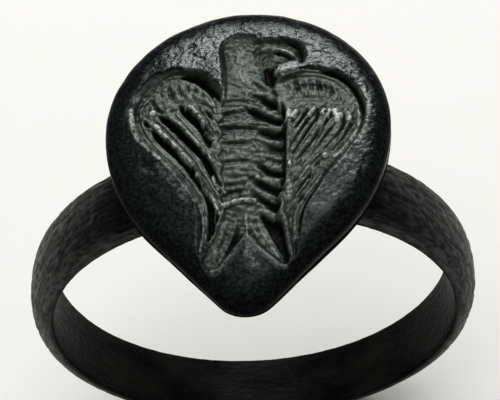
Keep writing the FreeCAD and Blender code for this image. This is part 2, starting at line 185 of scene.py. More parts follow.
hoop_tree = bpy.data.node_groups.new("rolled_half_round_strip", "GeometryNodeTree")
hoop_tree.is_modifier = True
hoop_tree.interface.new_socket("Geometry", in_out="INPUT", socket_type="NodeSocketGeometry")
for label in strip:
    hoop_tree.interface.new_socket(label, in_out="INPUT", socket_type="NodeSocketFloat")
hoop_tree.interface.new_socket("Material", in_out="INPUT", socket_type="NodeSocketMaterial")
hoop_tree.interface.new_socket("Geometry", in_out="OUTPUT", socket_type="NodeSocketGeometry")
given = add_node(hoop_tree, "NodeGroupInput").outputs

# A flat sheet of quads: its x goes round the finger, its y round the strip's D section
flat_sheet = add_node(hoop_tree, "GeometryNodeMeshGrid", {
    "Size X": 1.0, "Size Y": 1.0,
    "Vertices X": strip_steps_round + 1, "Vertices Y": strip_steps_across + 1})
flat_place = add_node(hoop_tree, "GeometryNodeInputPosition")
flat = add_node(hoop_tree, "ShaderNodeSeparateXYZ", {0: flat_place}).outputs
swirl = add_node(hoop_tree, "ShaderNodeTexNoise", {"Scale": 0.8, "Detail": 2.0, "Roughness": 0.6})
dents = add_node(hoop_tree, "ShaderNodeTexNoise", {"Scale": 0.2, "Detail": 1.0})
worked_out = {label: given[label] for label in strip}
worked_out.update({"sheet x": flat["X"], "sheet y": flat["Y"], "swirl": swirl, "dents": dents})

# The D section: powers of its sine and cosine, fuller outside and squarer at the inner corners
outer_bow, outer_shoulder, inner_corner = 0.92, 0.78, 0.32
crease_sharpness, crease_share = 9.0, 0.45
dent_share, dent_middle = 0.8, 0.65
slant = 0.35
sums = [
    # the angle round the finger, and the turn round the section, whose last column is its first
    ("share round", "ADD", "sheet x", 0.5),
    ("seam angle", "MULTIPLY", "Seam half angle", 2.0),
    ("open angle", "SUBTRACT", math.tau, "seam angle"),
    ("angle", "MULTIPLY_ADD", "share round", "open angle", "Seam half angle"),
    ("last column", "GREATER_THAN", "sheet y", 0.5 - 0.25 / strip_steps_across),
    ("wrapped y", "SUBTRACT", "sheet y", "last column"),
    ("section turn", "MULTIPLY", "wrapped y", -math.tau),
    # the strip's width and crest, tapering from the shoulders to the back
    ("angle cosine", "COSINE", "angle"),
    ("top share", "MULTIPLY_ADD", "angle cosine", 0.5, 0.5),
    ("width gain", "SUBTRACT", "Width at the shoulders", "Width at the back"),
    ("width", "MULTIPLY_ADD", "width gain", "top share", "Width at the back"),
    ("half width", "MULTIPLY", "width", 0.5),
    ("crest gain", "SUBTRACT", "Crest at the shoulders", "Crest at the back"),
    ("crest", "MULTIPLY_ADD", "crest gain", "top share", "Crest at the back"),
    # the place on the section: across the strip, and its level above the bore
    ("cosine", "COSINE", "section turn"),
    ("sine", "SINE", "section turn"),
    ("outer side", "GREATER_THAN", "sine", 0.0),
    ("across power", "MULTIPLY_ADD", "outer side", outer_shoulder - inner_corner, inner_corner),
    ("level power", "MULTIPLY_ADD", "outer side", outer_bow - inner_corner, inner_corner),
    ("side", "SIGN", "cosine"),
    ("plain cosine", "ABSOLUTE", "cosine"),
    ("reach", "POWER", "plain cosine", "across power"),
    ("sided reach", "MULTIPLY", "side", "reach"),
    ("across", "MULTIPLY", "half width", "sided reach"),
    ("plain sine", "ABSOLUTE", "sine"),
    ("swell", "POWER", "plain sine", "level power"),
    ("half edge", "MULTIPLY", "Edge height", 0.5),
    ("bow height", "SUBTRACT", "crest", "half edge"),
    ("outer level", "MULTIPLY_ADD", "swell", "bow height", "half edge"),
    ("inner drop", "MULTIPLY", "swell", "half edge"),
    ("inner level", "SUBTRACT", "half edge", "inner drop"),
    ("inner side", "SUBTRACT", 1.0, "outer side"),
    ("outer level", "MULTIPLY", "outer side", "outer level"),
    ("level", "MULTIPLY_ADD", "inner side", "inner level", "outer level"),
    # the wrinkles' place: drawn out along the strip and slanted across it
    ("mean radius", "ADD", "Bore radius", "half edge"),
    ("along", "MULTIPLY", "angle", "mean radius"),
    ("wrinkle along", "DIVIDE", "along", "Wrinkle length"),
    ("slanted across", "MULTIPLY", "across", slant),
    ("slanted across", "DIVIDE", "slanted across", "Wrinkle width"),
    ("wrinkle along", "ADD", "wrinkle along", "slanted across"),
    ("wrinkle across", "DIVIDE", "across", "Wrinkle width"),
    ("wrinkle level", "DIVIDE", "level", "Wrinkle width"),
    # sharp creases over softer dents, cut in and never raised, and stronger outside
    ("off crease", "SUBTRACT", "swirl", 0.5),
    ("off crease", "ABSOLUTE", "off crease"),
    ("off crease", "MULTIPLY", "off crease", crease_sharpness),
    ("off crease", "MINIMUM", "off crease", 1.0),
    ("crease", "SUBTRACT", 1.0, "off crease"),
    ("dent", "SUBTRACT", "dents", dent_middle),
    ("dent", "MULTIPLY", dent_share, "dent"),
    ("crease depth", "MULTIPLY", "crease", crease_share),
    ("relief", "SUBTRACT", "dent", "crease depth"),
    ("relief", "MULTIPLY", "relief", "Wrinkle height"),
    ("on outside", "MULTIPLY", "swell", 0.8),
    ("on outside", "MULTIPLY_ADD", "outer side", "on outside", 0.2),
    ("lift", "MULTIPLY", "relief", "on outside"),
    ("lift", "MINIMUM", "lift", 0.0),
    ("outward", "MULTIPLY_ADD", "outer side", 2.0, -1.0),
    ("level", "MULTIPLY_ADD", "lift", "outward", "level"),
    ("side lift", "MULTIPLY", "lift", 0.5),
    ("across", "MULTIPLY_ADD", "side lift", "side", "across"),
    # the end rings close to a point inside the solder seam
    ("off middle", "ABSOLUTE", "sheet x"),
    ("inside", "LESS_THAN", "off middle", 0.5 - 0.5 / strip_steps_round),
    ("across", "MULTIPLY", "across", "inside"),
    ("level", "SUBTRACT", "level", "half edge"),
    ("level", "MULTIPLY_ADD", "level", "inside", "half edge"),
    # rolled round the finger, and filed flat at the seat
    ("radius", "ADD", "Bore radius", "level"),
    ("angle sine", "SINE", "angle"),
    ("rolled x", "MULTIPLY", "radius", "angle sine"),
    ("rolled z", "MULTIPLY", "radius", "angle cosine"),
    ("rolled z", "MINIMUM", "rolled z", "Seat level"),
]
for name, operation, *values in sums:
    inputs = {number: worked_out.get(value, value) for number, value in enumerate(values)}
    worked_out[name] = add_node(hoop_tree, "ShaderNodeMath", inputs, operation=operation)
places = {}
for name, parts in (("wrinkle", ("wrinkle along", "wrinkle across", "wrinkle level")),
                    ("rolled", ("rolled x", "across", "rolled z")),
                    ("grain", ("along", "across", "level"))):
    inputs = {number: worked_out[part] for number, part in enumerate(parts)}
    places[name] = add_node(hoop_tree, "ShaderNodeCombineXYZ", inputs)
for texture in (swirl, dents):
    hoop_tree.links.new(places["wrinkle"].outputs[0], texture.inputs["Vector"])

grained = add_node(hoop_tree, "GeometryNodeStoreNamedAttribute", {
    "Geometry": flat_sheet, "Name": "grain", "Value": places["grain"]},
    data_type="FLOAT_VECTOR", domain="POINT")
creased = add_node(hoop_tree, "GeometryNodeStoreNamedAttribute", {
    "Geometry": grained, "Name": "crease", "Value": worked_out["crease"]},
    data_type="FLOAT", domain="POINT")
rolled = add_node(hoop_tree, "GeometryNodeSetPosition", {
    "Geometry": creased, "Position": places["rolled"]})
merged = add_node(hoop_tree, "GeometryNodeMergeByDistance", {
    "Geometry": rolled, "Distance": 0.001 * MM})
smooth = add_node(hoop_tree, "GeometryNodeSetShadeSmooth", {"Geometry": merged})
real = add_node(hoop_tree, "GeometryNodeRealizeInstances", {"Geometry": smooth})
dressed = add_node(hoop_tree, "GeometryNodeSetMaterial", {
    "Geometry": real, "Material": given["Material"]})
add_node(hoop_tree, "NodeGroupOutput", {0: dressed})

# Black-patinated bronze, forged and worn: a near-black oxide skin with a soft metallic gloss,
# brighter on the outside; its sheen is turned down in the wrinkles and inside as painted shade
hoop_skin, tree = new_material("black_patinated_bronze_worn")
grain = add_node(tree, "ShaderNodeAttribute", attribute_name="grain").outputs["Vector"]
in_crease = add_node(tree, "ShaderNodeAttribute", attribute_name="crease").outputs["Fac"]
per_mm = 1 / MM
drawn_out = 0.5
grain_mm = add_node(tree, "ShaderNodeVectorMath", {
    0: grain, 1: (drawn_out * per_mm, per_mm, per_mm)}, operation="MULTIPLY")
patches = add_node(tree, "ShaderNodeTexNoise", {"Vector": grain_mm, "Scale": 0.7, "Detail": 4.0})
streaks = add_node(tree, "ShaderNodeTexNoise", {
    "Vector": grain_mm, "Scale": 4.2, "Detail": 2.0, "Roughness": 0.55})
crust = add_node(tree, "ShaderNodeTexNoise", {"Vector": grain_mm, "Scale": 7.0, "Detail": 1.0})
tone = add_node(tree, "ShaderNodeMapRange", {"Value": patches, "From Min": 0.38, "From Max": 0.68})
skin = add_node(tree, "ShaderNodeValToRGB", {"Fac": tone})
set_ends(skin, "#070807", "#191A17")

# The outside keeps a faint sheen; the creases and the inside have it turned down, a painted shade
grain_level = add_node(tree, "ShaderNodeSeparateXYZ", {0: grain}).outputs["Z"]
outside = add_node(tree, "ShaderNodeMapRange", {
    "Value": grain_level, "From Min": 0.1 * MM, "From Max": 0.4 * MM})
off_crease_sheen = add_node(tree, "ShaderNodeMapRange", {"Value": in_crease, "To Min": 1.0, "To Max": 0.1})
unshaded_sheen = add_node(tree, "ShaderNodeMath", {0: outside, 1: off_crease_sheen}, operation="MULTIPLY")
sheen = add_node(tree, "ShaderNodeMapRange", {"Value": unshaded_sheen, "To Min": 0.03, "To Max": 0.3})
gloss = add_node(tree, "ShaderNodeMapRange", {
    "Value": streaks, "From Min": 0.3, "From Max": 0.7, "To Min": 0.36, "To Max": 0.56})
coarse = add_node(tree, "ShaderNodeBump", {"Height": streaks, "Strength": 0.8, "Distance": 0.05 * MM})
fine = add_node(tree, "ShaderNodeBump", {
    "Height": crust, "Strength": 0.5, "Distance": 0.015 * MM, "Normal": coarse})
bronze = add_node(tree, "ShaderNodeBsdfPrincipled", {
    "Base Color": skin, "Roughness": gloss, "Normal": fine, "Specular IOR Level": sheen})
add_node(tree, "ShaderNodeOutputMaterial", {"Surface": bronze})


def join_scene(name, mesh):
    """Put a mesh in the scene as an object at the origin."""
    piece = bpy.data.objects.new(name, mesh)
    bpy.context.scene.collection.objects.link(piece)
    return piece


blank = join_scene("rolled_hoop_blank", bpy.data.meshes.new("rolled_hoop_blank"))
modifier = blank.modifiers.new("rolled strip", "NODES")
modifier.node_group = hoop_tree
sockets = {item.name: item.identifier for item in hoop_tree.interface.items_tree
           if item.in_out == "INPUT"}
for label, value in strip.items():
    modifier[sockets[label]] = value
modifier[sockets["Material"]] = hoop_skin
rolled_blank = blank.evaluated_get(bpy.context.evaluated_depsgraph_get())
hoop = join_scene("half_round_hoop", bpy.data.meshes.new_from_object(rolled_blank))
blank.modifiers.remove(modifier)
bpy.data.objects.remove(blank)
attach(hoop, "root")
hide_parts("hoop")


# The hoop's seam: hard solder drawn into the gap where the strip's ends meet, under the bezel.
# It shows only inside the finger hole, as a thin duller line standing a hair proud.
def hoop_section(half_across, crest_height, edge_height, steps):
    """Return the strip's D section as (across, level) points."""
    points = []
    for step in range(steps):
        turn = math.tau * step / steps
        side = math.copysign(1, math.cos(turn))
        outside = math.sin(turn) > 0
        width_power = outer_shoulder if outside else inner_corner
        height_power = outer_bow if outside else inner_corner
        swell = abs(math.sin(turn)) ** height_power
        reach = crest_height - edge_height / 2 if outside else -edge_height / 2
        points.append((side * half_across * abs(math.cos(turn)) ** width_power,
                       edge_height / 2 + reach * swell))
    return points


def tube_mesh(name, rings, material):
    """Skin closed rings of points in millimetres, and close both ends with fans."""
    count = len(rings[0])
    points = [point for ring in rings for point in ring]
    faces = []
    for ring in range(len(rings) - 1):
        for index in range(count):
            following = (index + 1) % count
            faces.append((ring * count + index, ring * count + following,
                          (ring + 1) * count + following, (ring + 1) * count + index))
    for ring, order in ((0, -1), (len(rings) - 1, 1)):
        middle = len(points)
        points.append(tuple(np.mean(rings[ring], axis=0)))
        for index in range(count):
            pair = (ring * count + index, ring * count + (index + 1) % count)
            faces.append((middle, *pair[::order]))
    mesh = bpy.data.meshes.new(name)
    mesh.from_pydata([(x * MM, y * MM, z * MM) for x, y, z in points], [], faces)
    mesh.shade_smooth()
    mesh.materials.append(material)
    return mesh


# Darkened hard solder: a silvery brazing alloy gone grey-black, duller and grittier than the bronze
solder_skin, tree = new_material("darkened_brazing_solder")
place = add_node(tree, "ShaderNodeTexCoord").outputs["Object"]
place_mm = add_node(tree, "ShaderNodeVectorMath", {0: place, 1: (per_mm,) * 3}, operation="MULTIPLY")
lumps = add_node(tree, "ShaderNodeTexNoise", {"Vector": place_mm, "Scale": 2.0, "Detail": 4.0})
grit = add_node(tree, "ShaderNodeTexNoise", {"Vector": place_mm, "Scale": 9.0, "Detail": 3.0})
skin = add_node(tree, "ShaderNodeValToRGB", {"Fac": lumps})
set_ends(skin, "#1B1C1B", "#4A4B47", 0.35, 0.7)
gloss = add_node(tree, "ShaderNodeMapRange", {
    "Value": grit, "From Min": 0.3, "From Max": 0.7, "To Min": 0.45, "To Max": 0.68})
bumps = add_node(tree, "ShaderNodeBump", {"Height": grit, "Strength": 0.5, "Distance": 0.03 * MM})
solder = add_node(tree, "ShaderNodeBsdfPrincipled", {
    "Base Color": skin, "Roughness": gloss, "Normal": bumps})
add_node(tree, "ShaderNodeOutputMaterial", {"Surface": solder})

seam_gap, seam_proud, overlap = 0.2, 0.02, 0.75
end_half_width, end_crest, end_edge, section_steps = 1.8, 1.25, 0.42, 64
section = hoop_section(end_half_width, end_crest, end_edge, section_steps)
rings = []
for share in np.linspace(-1, 1, 7):
    stand = seam_proud * math.sqrt(1 - 0.6 * share ** 2)
    rings.append([
        (share * seam_gap * overlap, across + math.copysign(stand, across),
         min(BORE_RADIUS + level - (stand if level < 0.1 else 0), SEAT_LEVEL))
        for across, level in section])
seam = join_scene("hoop_seam_line", tube_mesh("hoop_seam_line", rings, solder_skin))
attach(seam, "root")
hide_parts("hoop_seam_solder")

# The solder bed: an easier-flowing solder that seats the plate on the filed crown of the hoop. It
# flares in a smooth fillet from the strip's sides up to the underside of the plate.
foot_level, mouth_level = 9.72, 10.6
bed_half_length, bed_half_width, bed_flare = 3.2, 1.8, 0.6
bed_steps, bed_rings = 160, 15
flare_power, wander_height = 2.4, 0.025
rng = np.random.default_rng(11)
lobe_phase = rng.uniform(0, math.tau, 4)
rings = []
for step in range(bed_rings):
    rise = step / (bed_rings - 1)
    flare = bed_flare * rise ** flare_power
    ring = []
    for index in range(bed_steps):
        turn = math.tau * index / bed_steps
        wander = sum(math.sin((2 + k) * turn + lobe_phase[k]) for k in range(4))
        wander *= wander_height * rise
        ring.append(((bed_half_length + flare + wander) * math.cos(turn),
                     (bed_half_width + flare + wander) * math.sin(turn),
                     foot_level + (mouth_level - foot_level) * rise))
    rings.append(ring)
bed = join_scene("bezel_solder_bed", tube_mesh("bezel_solder_bed", rings, solder_skin))
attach(bed, "root")
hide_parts("bezel_solder")

# The bezel: a cast and hammered bronze plate, its face engraved with a displayed eagle to press
# into wax or clay, so the bird is sunk. Its edge is rubbed to a broad soft round.
HALF_WIDTH, CROWN_RISE, FLANK_RADIUS = 6.1, 0.4, 8.3
POINT_REACH, POINT_RADIUS = 8.7, 1.5
PLATE_THICKNESS, UNDERSIDE = 1.6, 10.6
rim_width, rim_height, rim_roundness, rim_fullness = 1.05, 0.52, 2.4, 0.55
face_dome, dome_reach, dome_top_x, dome_top_y = 0.34, 6.0, 0.4, -0.2
grid_steps = 286


def teardrop(steps):
    """Return points round the plate's outline, from the flank foot on the right, anticlockwise."""
    offset, point_y = FLANK_RADIUS - HALF_WIDTH, POINT_RADIUS - POINT_REACH
    drop = point_y - CROWN_RISE
    flank = math.atan2(drop, offset)
    flank += math.acos((FLANK_RADIUS - POINT_RADIUS) / math.hypot(offset, drop))
    arcs = [
        (-offset, CROWN_RISE, FLANK_RADIUS, flank, 0),
        (0, CROWN_RISE, HALF_WIDTH, 0, math.pi),
        (offset, CROWN_RISE, FLANK_RADIUS, math.pi, math.pi - flank),
        (0, point_y, POINT_RADIUS, math.pi - flank, math.tau + flank),
    ]
    bends, bend_steps = [], 90
    for x, y, radius, start, end in arcs:
        turns = np.linspace(start, end, bend_steps)
        bends.append(np.column_stack([x + radius * np.cos(turns), y + radius * np.sin(turns)]))
    corners = np.vstack(bends + [bends[0][:1]])
    run = np.concatenate([[0], np.cumsum(np.hypot(*np.diff(corners, axis=0).T))])
    places = np.linspace(0, run[-1], steps, endpoint=False)
    return np.column_stack([np.interp(places, run, axis) for axis in corners.T])


def distance_to(course, points, closed=False):
    """Return each point's distance from a course, its side, its way along it, and the whole way."""
    course = np.asarray(course, float)
    if closed:
        course = np.vstack([course, course[:1]])
    best = np.full(len(points), np.inf)
    side = np.zeros(len(points))
    travelled = np.zeros(len(points))
    covered = 0.0
    for start, end in zip(course[:-1], course[1:]):
        run = end - start
        length = math.hypot(*run)
        if length == 0:
            continue
        share = np.clip(((points - start) @ run) / length ** 2, 0, 1)
        gap = points - start - share[:, None] * run
        distance = np.hypot(gap[:, 0], gap[:, 1])
        nearer = distance < best
        best[nearer] = distance[nearer]
        side[nearer] = np.sign(run[0] * gap[nearer, 1] - run[1] * gap[nearer, 0])
        travelled[nearer] = covered + share[nearer] * length
        covered += length
    return best, side, travelled, covered


def soft_step(value, low, high):
    """Rise smoothly from 0 at low to 1 at high."""
    share = np.clip((value - low) / (high - low), 0, 1)
    return share * share * (3 - 2 * share)


def curve_through(points, steps=5):
    """Round a course of given points into a smooth curve."""
    points = np.asarray(points, float)
    padded = np.vstack([2 * points[0] - points[1], points, 2 * points[-1] - points[-2]])
    shares = np.arange(steps)[:, None] / steps
    spans = []
    for before, start, end, after in zip(padded, padded[1:], padded[2:], padded[3:]):
        spans.append(start + 0.5 * shares * (
            end - before + shares * (2 * before - 5 * start + 4 * end - after
                                     + shares * (3 * (start - end) + after - before))))
    return np.vstack(spans + [points[-1:]])


def value_noise(points, cell, seed):
    """Return smooth noise from -1 to 1, with a cell in millimetres."""
    lattice = np.random.default_rng(seed).uniform(-1, 1, (400, 400))
    place = np.asarray(points) / cell + 200
    whole = np.floor(place).astype(int)
    share = place - whole
    share = share * share * (3 - 2 * share)
    column, row = whole.T
    low = lattice[column, row] * (1 - share[:, 0]) + lattice[column + 1, row] * share[:, 0]
    high = lattice[column, row + 1] * (1 - share[:, 0]) + lattice[column + 1, row + 1] * share[:, 0]
    return low * (1 - share[:, 1]) + high * share[:, 1]


# The face's grid: a square net drawn round, then out to the teardrop, closer together over the rim
outline_steps = 720
outline = teardrop(outline_steps)
lines = np.linspace(-1, 1, grid_steps + 1)
net_x, net_y = (axis.ravel() for axis in np.meshgrid(lines, lines, indexing="ij"))
disc_x = net_x * np.sqrt(1 - net_y ** 2 / 2)
disc_y = net_y * np.sqrt(1 - net_x ** 2 / 2)
reach, bearing = np.hypot(disc_x, disc_y), np.arctan2(disc_y, disc_x)
outline_bearing = np.arctan2(outline[:, 1], outline[:, 0])
order = np.argsort(outline_bearing)
outline_reach = np.interp(
    bearing, outline_bearing[order], np.hypot(*outline[order].T), period=math.tau)
rim_arc = math.pi / 2 * math.sqrt((rim_width ** 2 + rim_height ** 2) / 2)
rim_overlap = 1.06
rim_run = rim_width * rim_overlap
inward = (1 - reach) * (outline_reach - rim_run + rim_arc)
over_rim = inward < rim_arc
rounded_inset = rim_run * (1 - np.cos(inward / rim_arc * math.pi / 2))
inset = np.where(over_rim, rounded_inset, inward - rim_arc + rim_run)
scale = (outline_reach - inset) / np.maximum(reach, 1e-9)
face = np.column_stack([disc_x * scale, disc_y * scale])
edge_gap, _, _, _ = distance_to(outline, face, closed=True)
on_edge = np.maximum(abs(net_x), abs(net_y)) > 1 - 1e-9
edge_gap[on_edge] = 0
rim_share = 1 - np.clip(edge_gap / rim_width, 0, 1)
rim_drop = rim_height * (1 - np.clip(1 - rim_share ** rim_roundness, 0, 1) ** rim_fullness)
off_top = (face[:, 0] - dome_top_x) ** 2 + (face[:, 1] - dome_top_y) ** 2
dome_drop = face_dome * off_top / dome_reach ** 2
depth = np.zeros(len(face))
painted_highlight_and_wear = np.zeros(len(face))
painted_shade = np.zeros(len(face))


def sink(border, floor, wall=0.14, slope=(0.0, 0.0), ease=None, shade_paint=0.0):
    """Cut a hollow with a border, floor depth and wall width. Slope tilts its floor per millimetre,
    ease gives two heights on the face between which it deepens, and a painted shade darkens its edge."""
    border = curve_through(list(border) + [border[0]], 3)[:-1]
    near = np.all((face > border.min(0)) & (face < border.max(0)), axis=1)
    points = face[near]
    inside = np.zeros(len(points), bool)
    for (x0, y0), (x1, y1) in zip(border, np.roll(border, -1, axis=0)):
        crosses = (y0 > points[:, 1]) != (y1 > points[:, 1])
        inside ^= crosses & (points[:, 0] < (x1 - x0) * (points[:, 1] - y0) / (y1 - y0 + 1e-12) + x0)
    gap, _, _, _ = distance_to(border, points, closed=True)
    border_wobble, shade_paint_width = 0.012, 0.45
    gap = gap + border_wobble * value_noise(points, 0.5, 5)
    middle = border.mean(0)
    level = floor + (points - middle) @ np.array(slope)
    if ease:
        level = level * soft_step(ease[0] - points[:, 1], 0, ease[0] - ease[1])
    depth[near] = np.maximum(depth[near], np.where(inside, level * soft_step(gap, 0, wall), 0))
    # painted shade just inside the border, by a share
    painted_shade[near] = np.maximum(painted_shade[near], shade_paint * inside * soft_step(-gap, -shade_paint_width, -0.05))


def scoop(middle, half_across, half_along, floor):
    """Cut a rounded bowl."""
    far = np.hypot((face[:, 0] - middle[0]) / half_across, (face[:, 1] - middle[1]) / half_along)
    np.maximum(depth, floor * np.sqrt(np.clip(1 - far ** 2, 0, 1)), out=depth)


def cut(points, half_width, keel, lean=0.0, run_out=0.25, drop=0.0, run_in=None, shade_paint=0.0):
    """Push a graver along a course to a keel depth; lean widens its left wall, drop adds to a floor,
    a painted shade blackens the cut. A deep cut is moved up, because its floor looks lower from the
    front."""
    view_share, deepest_seen, end_width, end_depth, keel_bow = 0.45, 0.45, 0.35, 0.4, 0.8
    course = curve_through(points) + (0, view_share * min(keel, deepest_seen))
    near = np.all((face > course.min(0) - 1) & (face < course.max(0) + 1), axis=1)
    gap, side, travelled, total = distance_to(course, face[near])
    run_in = run_in or run_out
    ends = np.minimum(soft_step(travelled, -0.35 * run_in, run_in),
                      soft_step(total - travelled, -0.35 * run_out, run_out))
    uneven = 1 + 0.1 * value_noise(face[near], 0.3, 3)
    reach = half_width * (1 + lean * side) * uneven * (end_width + (1 - end_width) * ends)
    profile = np.clip(1 - gap / reach, 0, 1)
    target = keel * (end_depth + (1 - end_depth) * ends) * profile ** keel_bow
    depth[near] = np.maximum(depth[near] + drop * profile * ends, target)
    # painted shade along the cut, by a share
    painted_shade[near] = np.maximum(painted_shade[near], shade_paint * soft_step(profile, 0.08, 0.4) * ends)


def leave(points, half_width, height, highlight_and_wear=0.0):
    """Leave a ridge standing inside a hollow, with a painted highlight, partly real wear, on its
    crest by a share.
    """
    if len(points) == 1:
        points = [points[0], (points[0][0], points[0][1] + 0.01)]
    course = curve_through(points)
    near = np.all((face > course.min(0) - 0.6) & (face < course.max(0) + 0.6), axis=1)
    gap, _, _, _ = distance_to(course, face[near])
    uneven = 1 + 0.25 * value_noise(face[near], 0.14, 9)
    raised = depth[near] - height * uneven * soft_step(-gap, -half_width, 0)
    below_face = 0.02
    depth[near] = np.maximum(raised, np.minimum(depth[near], below_face))
    flecks = soft_step(value_noise(face[near], 0.16, 10), -0.7, 0.2)
    crest = soft_step(-gap, -half_width, -0.3 * half_width)
    # a painted highlight along the crest, partly real wear, broken into flecks; the crest's painted
    # shade is cleared
    painted_highlight_and_wear[near] = np.maximum(painted_highlight_and_wear[near], highlight_and_wear * crest * (0.25 + 0.75 * flecks))
    painted_shade[near] *= 1 - crest


# Wings: shallow hollows that run in under the body
sink([(-0.8, 1.2), (-1.25, 1.7), (-1.5, 2.25), (-1.85, 2.6), (-2.3, 2.98), (-2.8, 3.12),
      (-3.4, 3.05), (-3.95, 2.72), (-4.45, 2.15), (-4.8, 1.5), (-4.95, 0.8), (-4.92, 0.1),
      (-4.7, -0.5), (-4.32, -0.95), (-3.9, -1.32), (-3.4, -1.9), (-2.95, -2.5), (-2.5, -3.12),
      (-2.14, -3.75), (-1.98, -4.5), (-1.97, -5.3), (-1.95, -6.3), (-1.5, -6.3), (-1.2, -5.2),
      (-0.8, -4.3), (-0.6, -3.0), (-0.6, 0.0)], 0.24, wall=0.24)
sink([(0.7, 1.6), (0.9, 2.2), (1.3, 2.5), (1.75, 2.7), (2.2, 2.84), (3.0, 2.94), (3.6, 2.8),
      (4.1, 2.52), (4.5, 2.15), (4.8, 1.7), (5.0, 1.15), (5.08, 0.6), (5.04, 0.0), (4.88, -0.55),
      (4.55, -1.12), (4.15, -1.75), (3.72, -2.35), (3.27, -3.0), (2.87, -3.7), (2.5, -4.3),
      (2.27, -4.85), (2.2, -5.6), (2.15, -6.4), (1.9, -6.5), (1.7, -5.6), (1.45, -4.4), (1.3, -3.0),
      (1.2, -1.0), (1.2, 1.0)], 0.22, wall=0.3)

# Their bow-shaped leading edges, deepest where the graver turned
cut([(-4.5, 0.9), (-4.38, 1.5), (-4.05, 2.05), (-3.6, 2.4), (-3.0, 2.55), (-2.4, 2.5)],
    0.42, 0.28, lean=0.3, run_out=0.8)
cut([(-2.9, 2.5), (-2.5, 2.45), (-2.1, 2.25), (-1.78, 1.92), (-1.5, 1.58), (-1.3, 1.2),
    (-1.18, 0.85)], 0.36, 0.66, lean=0.3, run_out=0.7)
cut([(2.3, 2.7), (3.0, 2.7), (3.55, 2.5), (4.0, 2.18)], 0.12, 0.24, lean=0.5, run_out=0.6)
cut([(3.1, 2.5), (3.6, 2.38), (4.1, 2.08), (4.5, 1.6), (4.74, 1.05), (4.86, 0.45), (4.86, -0.2)],
    0.19, 0.52, lean=0.35, run_out=0.7)
leave([(1.4, 2.4), (1.75, 2.58), (2.1, 2.7)], 0.3, 0.16)
# two ridges along the leading edges, with faint painted highlights
leave([(2.0, 2.5), (2.7, 2.58), (3.5, 2.4), (4.1, 1.95), (4.45, 1.45)], 0.09, 0.06, 0.2)
leave([(-4.2, 1.67), (-4.42, 1.3), (-4.54, 0.95), (-4.5, 0.6)], 0.08, 0.1, 0.3)

# The short feathers at their tops, in shallow tilted bowls: plump lobes with a painted highlight,
# parted by thin nicks darkened with painted shade
sink([(-4.2, 1.0), (-4.15, 1.7), (-3.75, 2.25), (-3.1, 2.52), (-2.45, 2.42), (-1.95, 2.05),
      (-1.6, 1.6), (-1.35, 0.9), (-2.3, 0.8), (-3.0, 0.6), (-3.7, 0.4)], 0.265, wall=0.6)
sink([(1.35, 1.7), (1.7, 2.2), (2.2, 2.5), (2.8, 2.58), (3.5, 2.42), (4.05, 2.02), (4.42, 1.55),
      (4.62, 1.0), (4.5, 0.6), (3.4, 0.6), (2.4, 0.62), (1.6, 0.7), (1.35, 1.2)], 0.26, wall=0.6)
nicks = [
    (-3.78, 2.0, 0.5, 0.07, 0.04), (-3.4, 2.25, 0.9, 0.12, 0.09), (-3.0, 2.25, 0.7, 0.11, 0.07),
    (-2.66, 2.3, 0.8, 0.08, 0.05), (-2.28, 2.15, 0.7, 0.11, 0.06), (-1.95, 1.9, 0.6, 0.08, 0.05),
    (1.72, 2.0, 0.6, 0.1, 0.04), (2.08, 2.25, 1.0, 0.13, 0.09), (2.38, 2.3, 0.7, 0.08, 0.04),
    (2.66, 2.3, 0.9, 0.09, 0.05), (3.02, 2.25, 0.8, 0.12, 0.08), (3.28, 2.15, 0.7, 0.08, 0.05),
    (3.54, 2.0, 0.8, 0.12, 0.07), (3.84, 1.8, 0.6, 0.08, 0.05), (4.08, 1.55, 0.55, 0.09, 0.05),
]
for x, y, length, half_across, drop in nicks:
    cut([(x, y), (x + 0.1 * length, y - 0.45 * length), (x + 0.3 * length, y - length)],
        half_across, 0.15, drop=drop + 0.015, run_out=0.3, shade_paint=0.35)
lobes = [
    (-3.42, 1.3, 0.32), (-2.95, 1.5, 0.22), (-2.5, 1.6, 0.2), (-2.1, 1.5, 0.22), (-1.75, 1.3, 0.18),
    (1.9, 1.4, 0.17), (2.32, 1.5, 0.17), (2.55, 1.45, 0.15), (2.88, 1.5, 0.17), (3.2, 1.45, 0.15),
    (3.46, 1.35, 0.15), (3.78, 1.25, 0.17), (4.1, 1.15, 0.15),
]
for x, y, half_across in lobes:
    leave([(x, y), (x - 0.02, y + 0.2)], half_across, 0.06, 0.28)
cut([(-4.16, 1.55), (-4.05, 1.3), (-3.9, 1.0), (-3.66, 0.72), (-3.5, 0.6)], 0.13, 0.38)
cut([(-3.5, 0.76), (-3.1, 0.8), (-2.67, 0.9), (-2.4, 1.05)], 0.12, 0.32)
cut([(2.1, 1.0), (2.6, 0.98), (3.3, 0.95), (4.0, 0.82)], 0.16, 0.24, run_out=0.6)
cut([(-4.4, 0.35), (-4.28, 0.1), (-4.1, -0.12)], 0.14, 0.5)
# thin barbs left standing, with painted highlights
barbs = [
    [(-1.85, 1.85), (-1.55, 1.42), (-1.35, 0.95)], [(-1.74, 1.35), (-1.47, 1.0), (-1.3, 0.66)],
    [(-1.45, 1.7), (-1.22, 1.25), (-1.1, 0.85)], [(-1.95, 0.95), (-1.72, 0.65)],
]
for barb in barbs:
    leave(barb, 0.08, 0.1, 0.5)

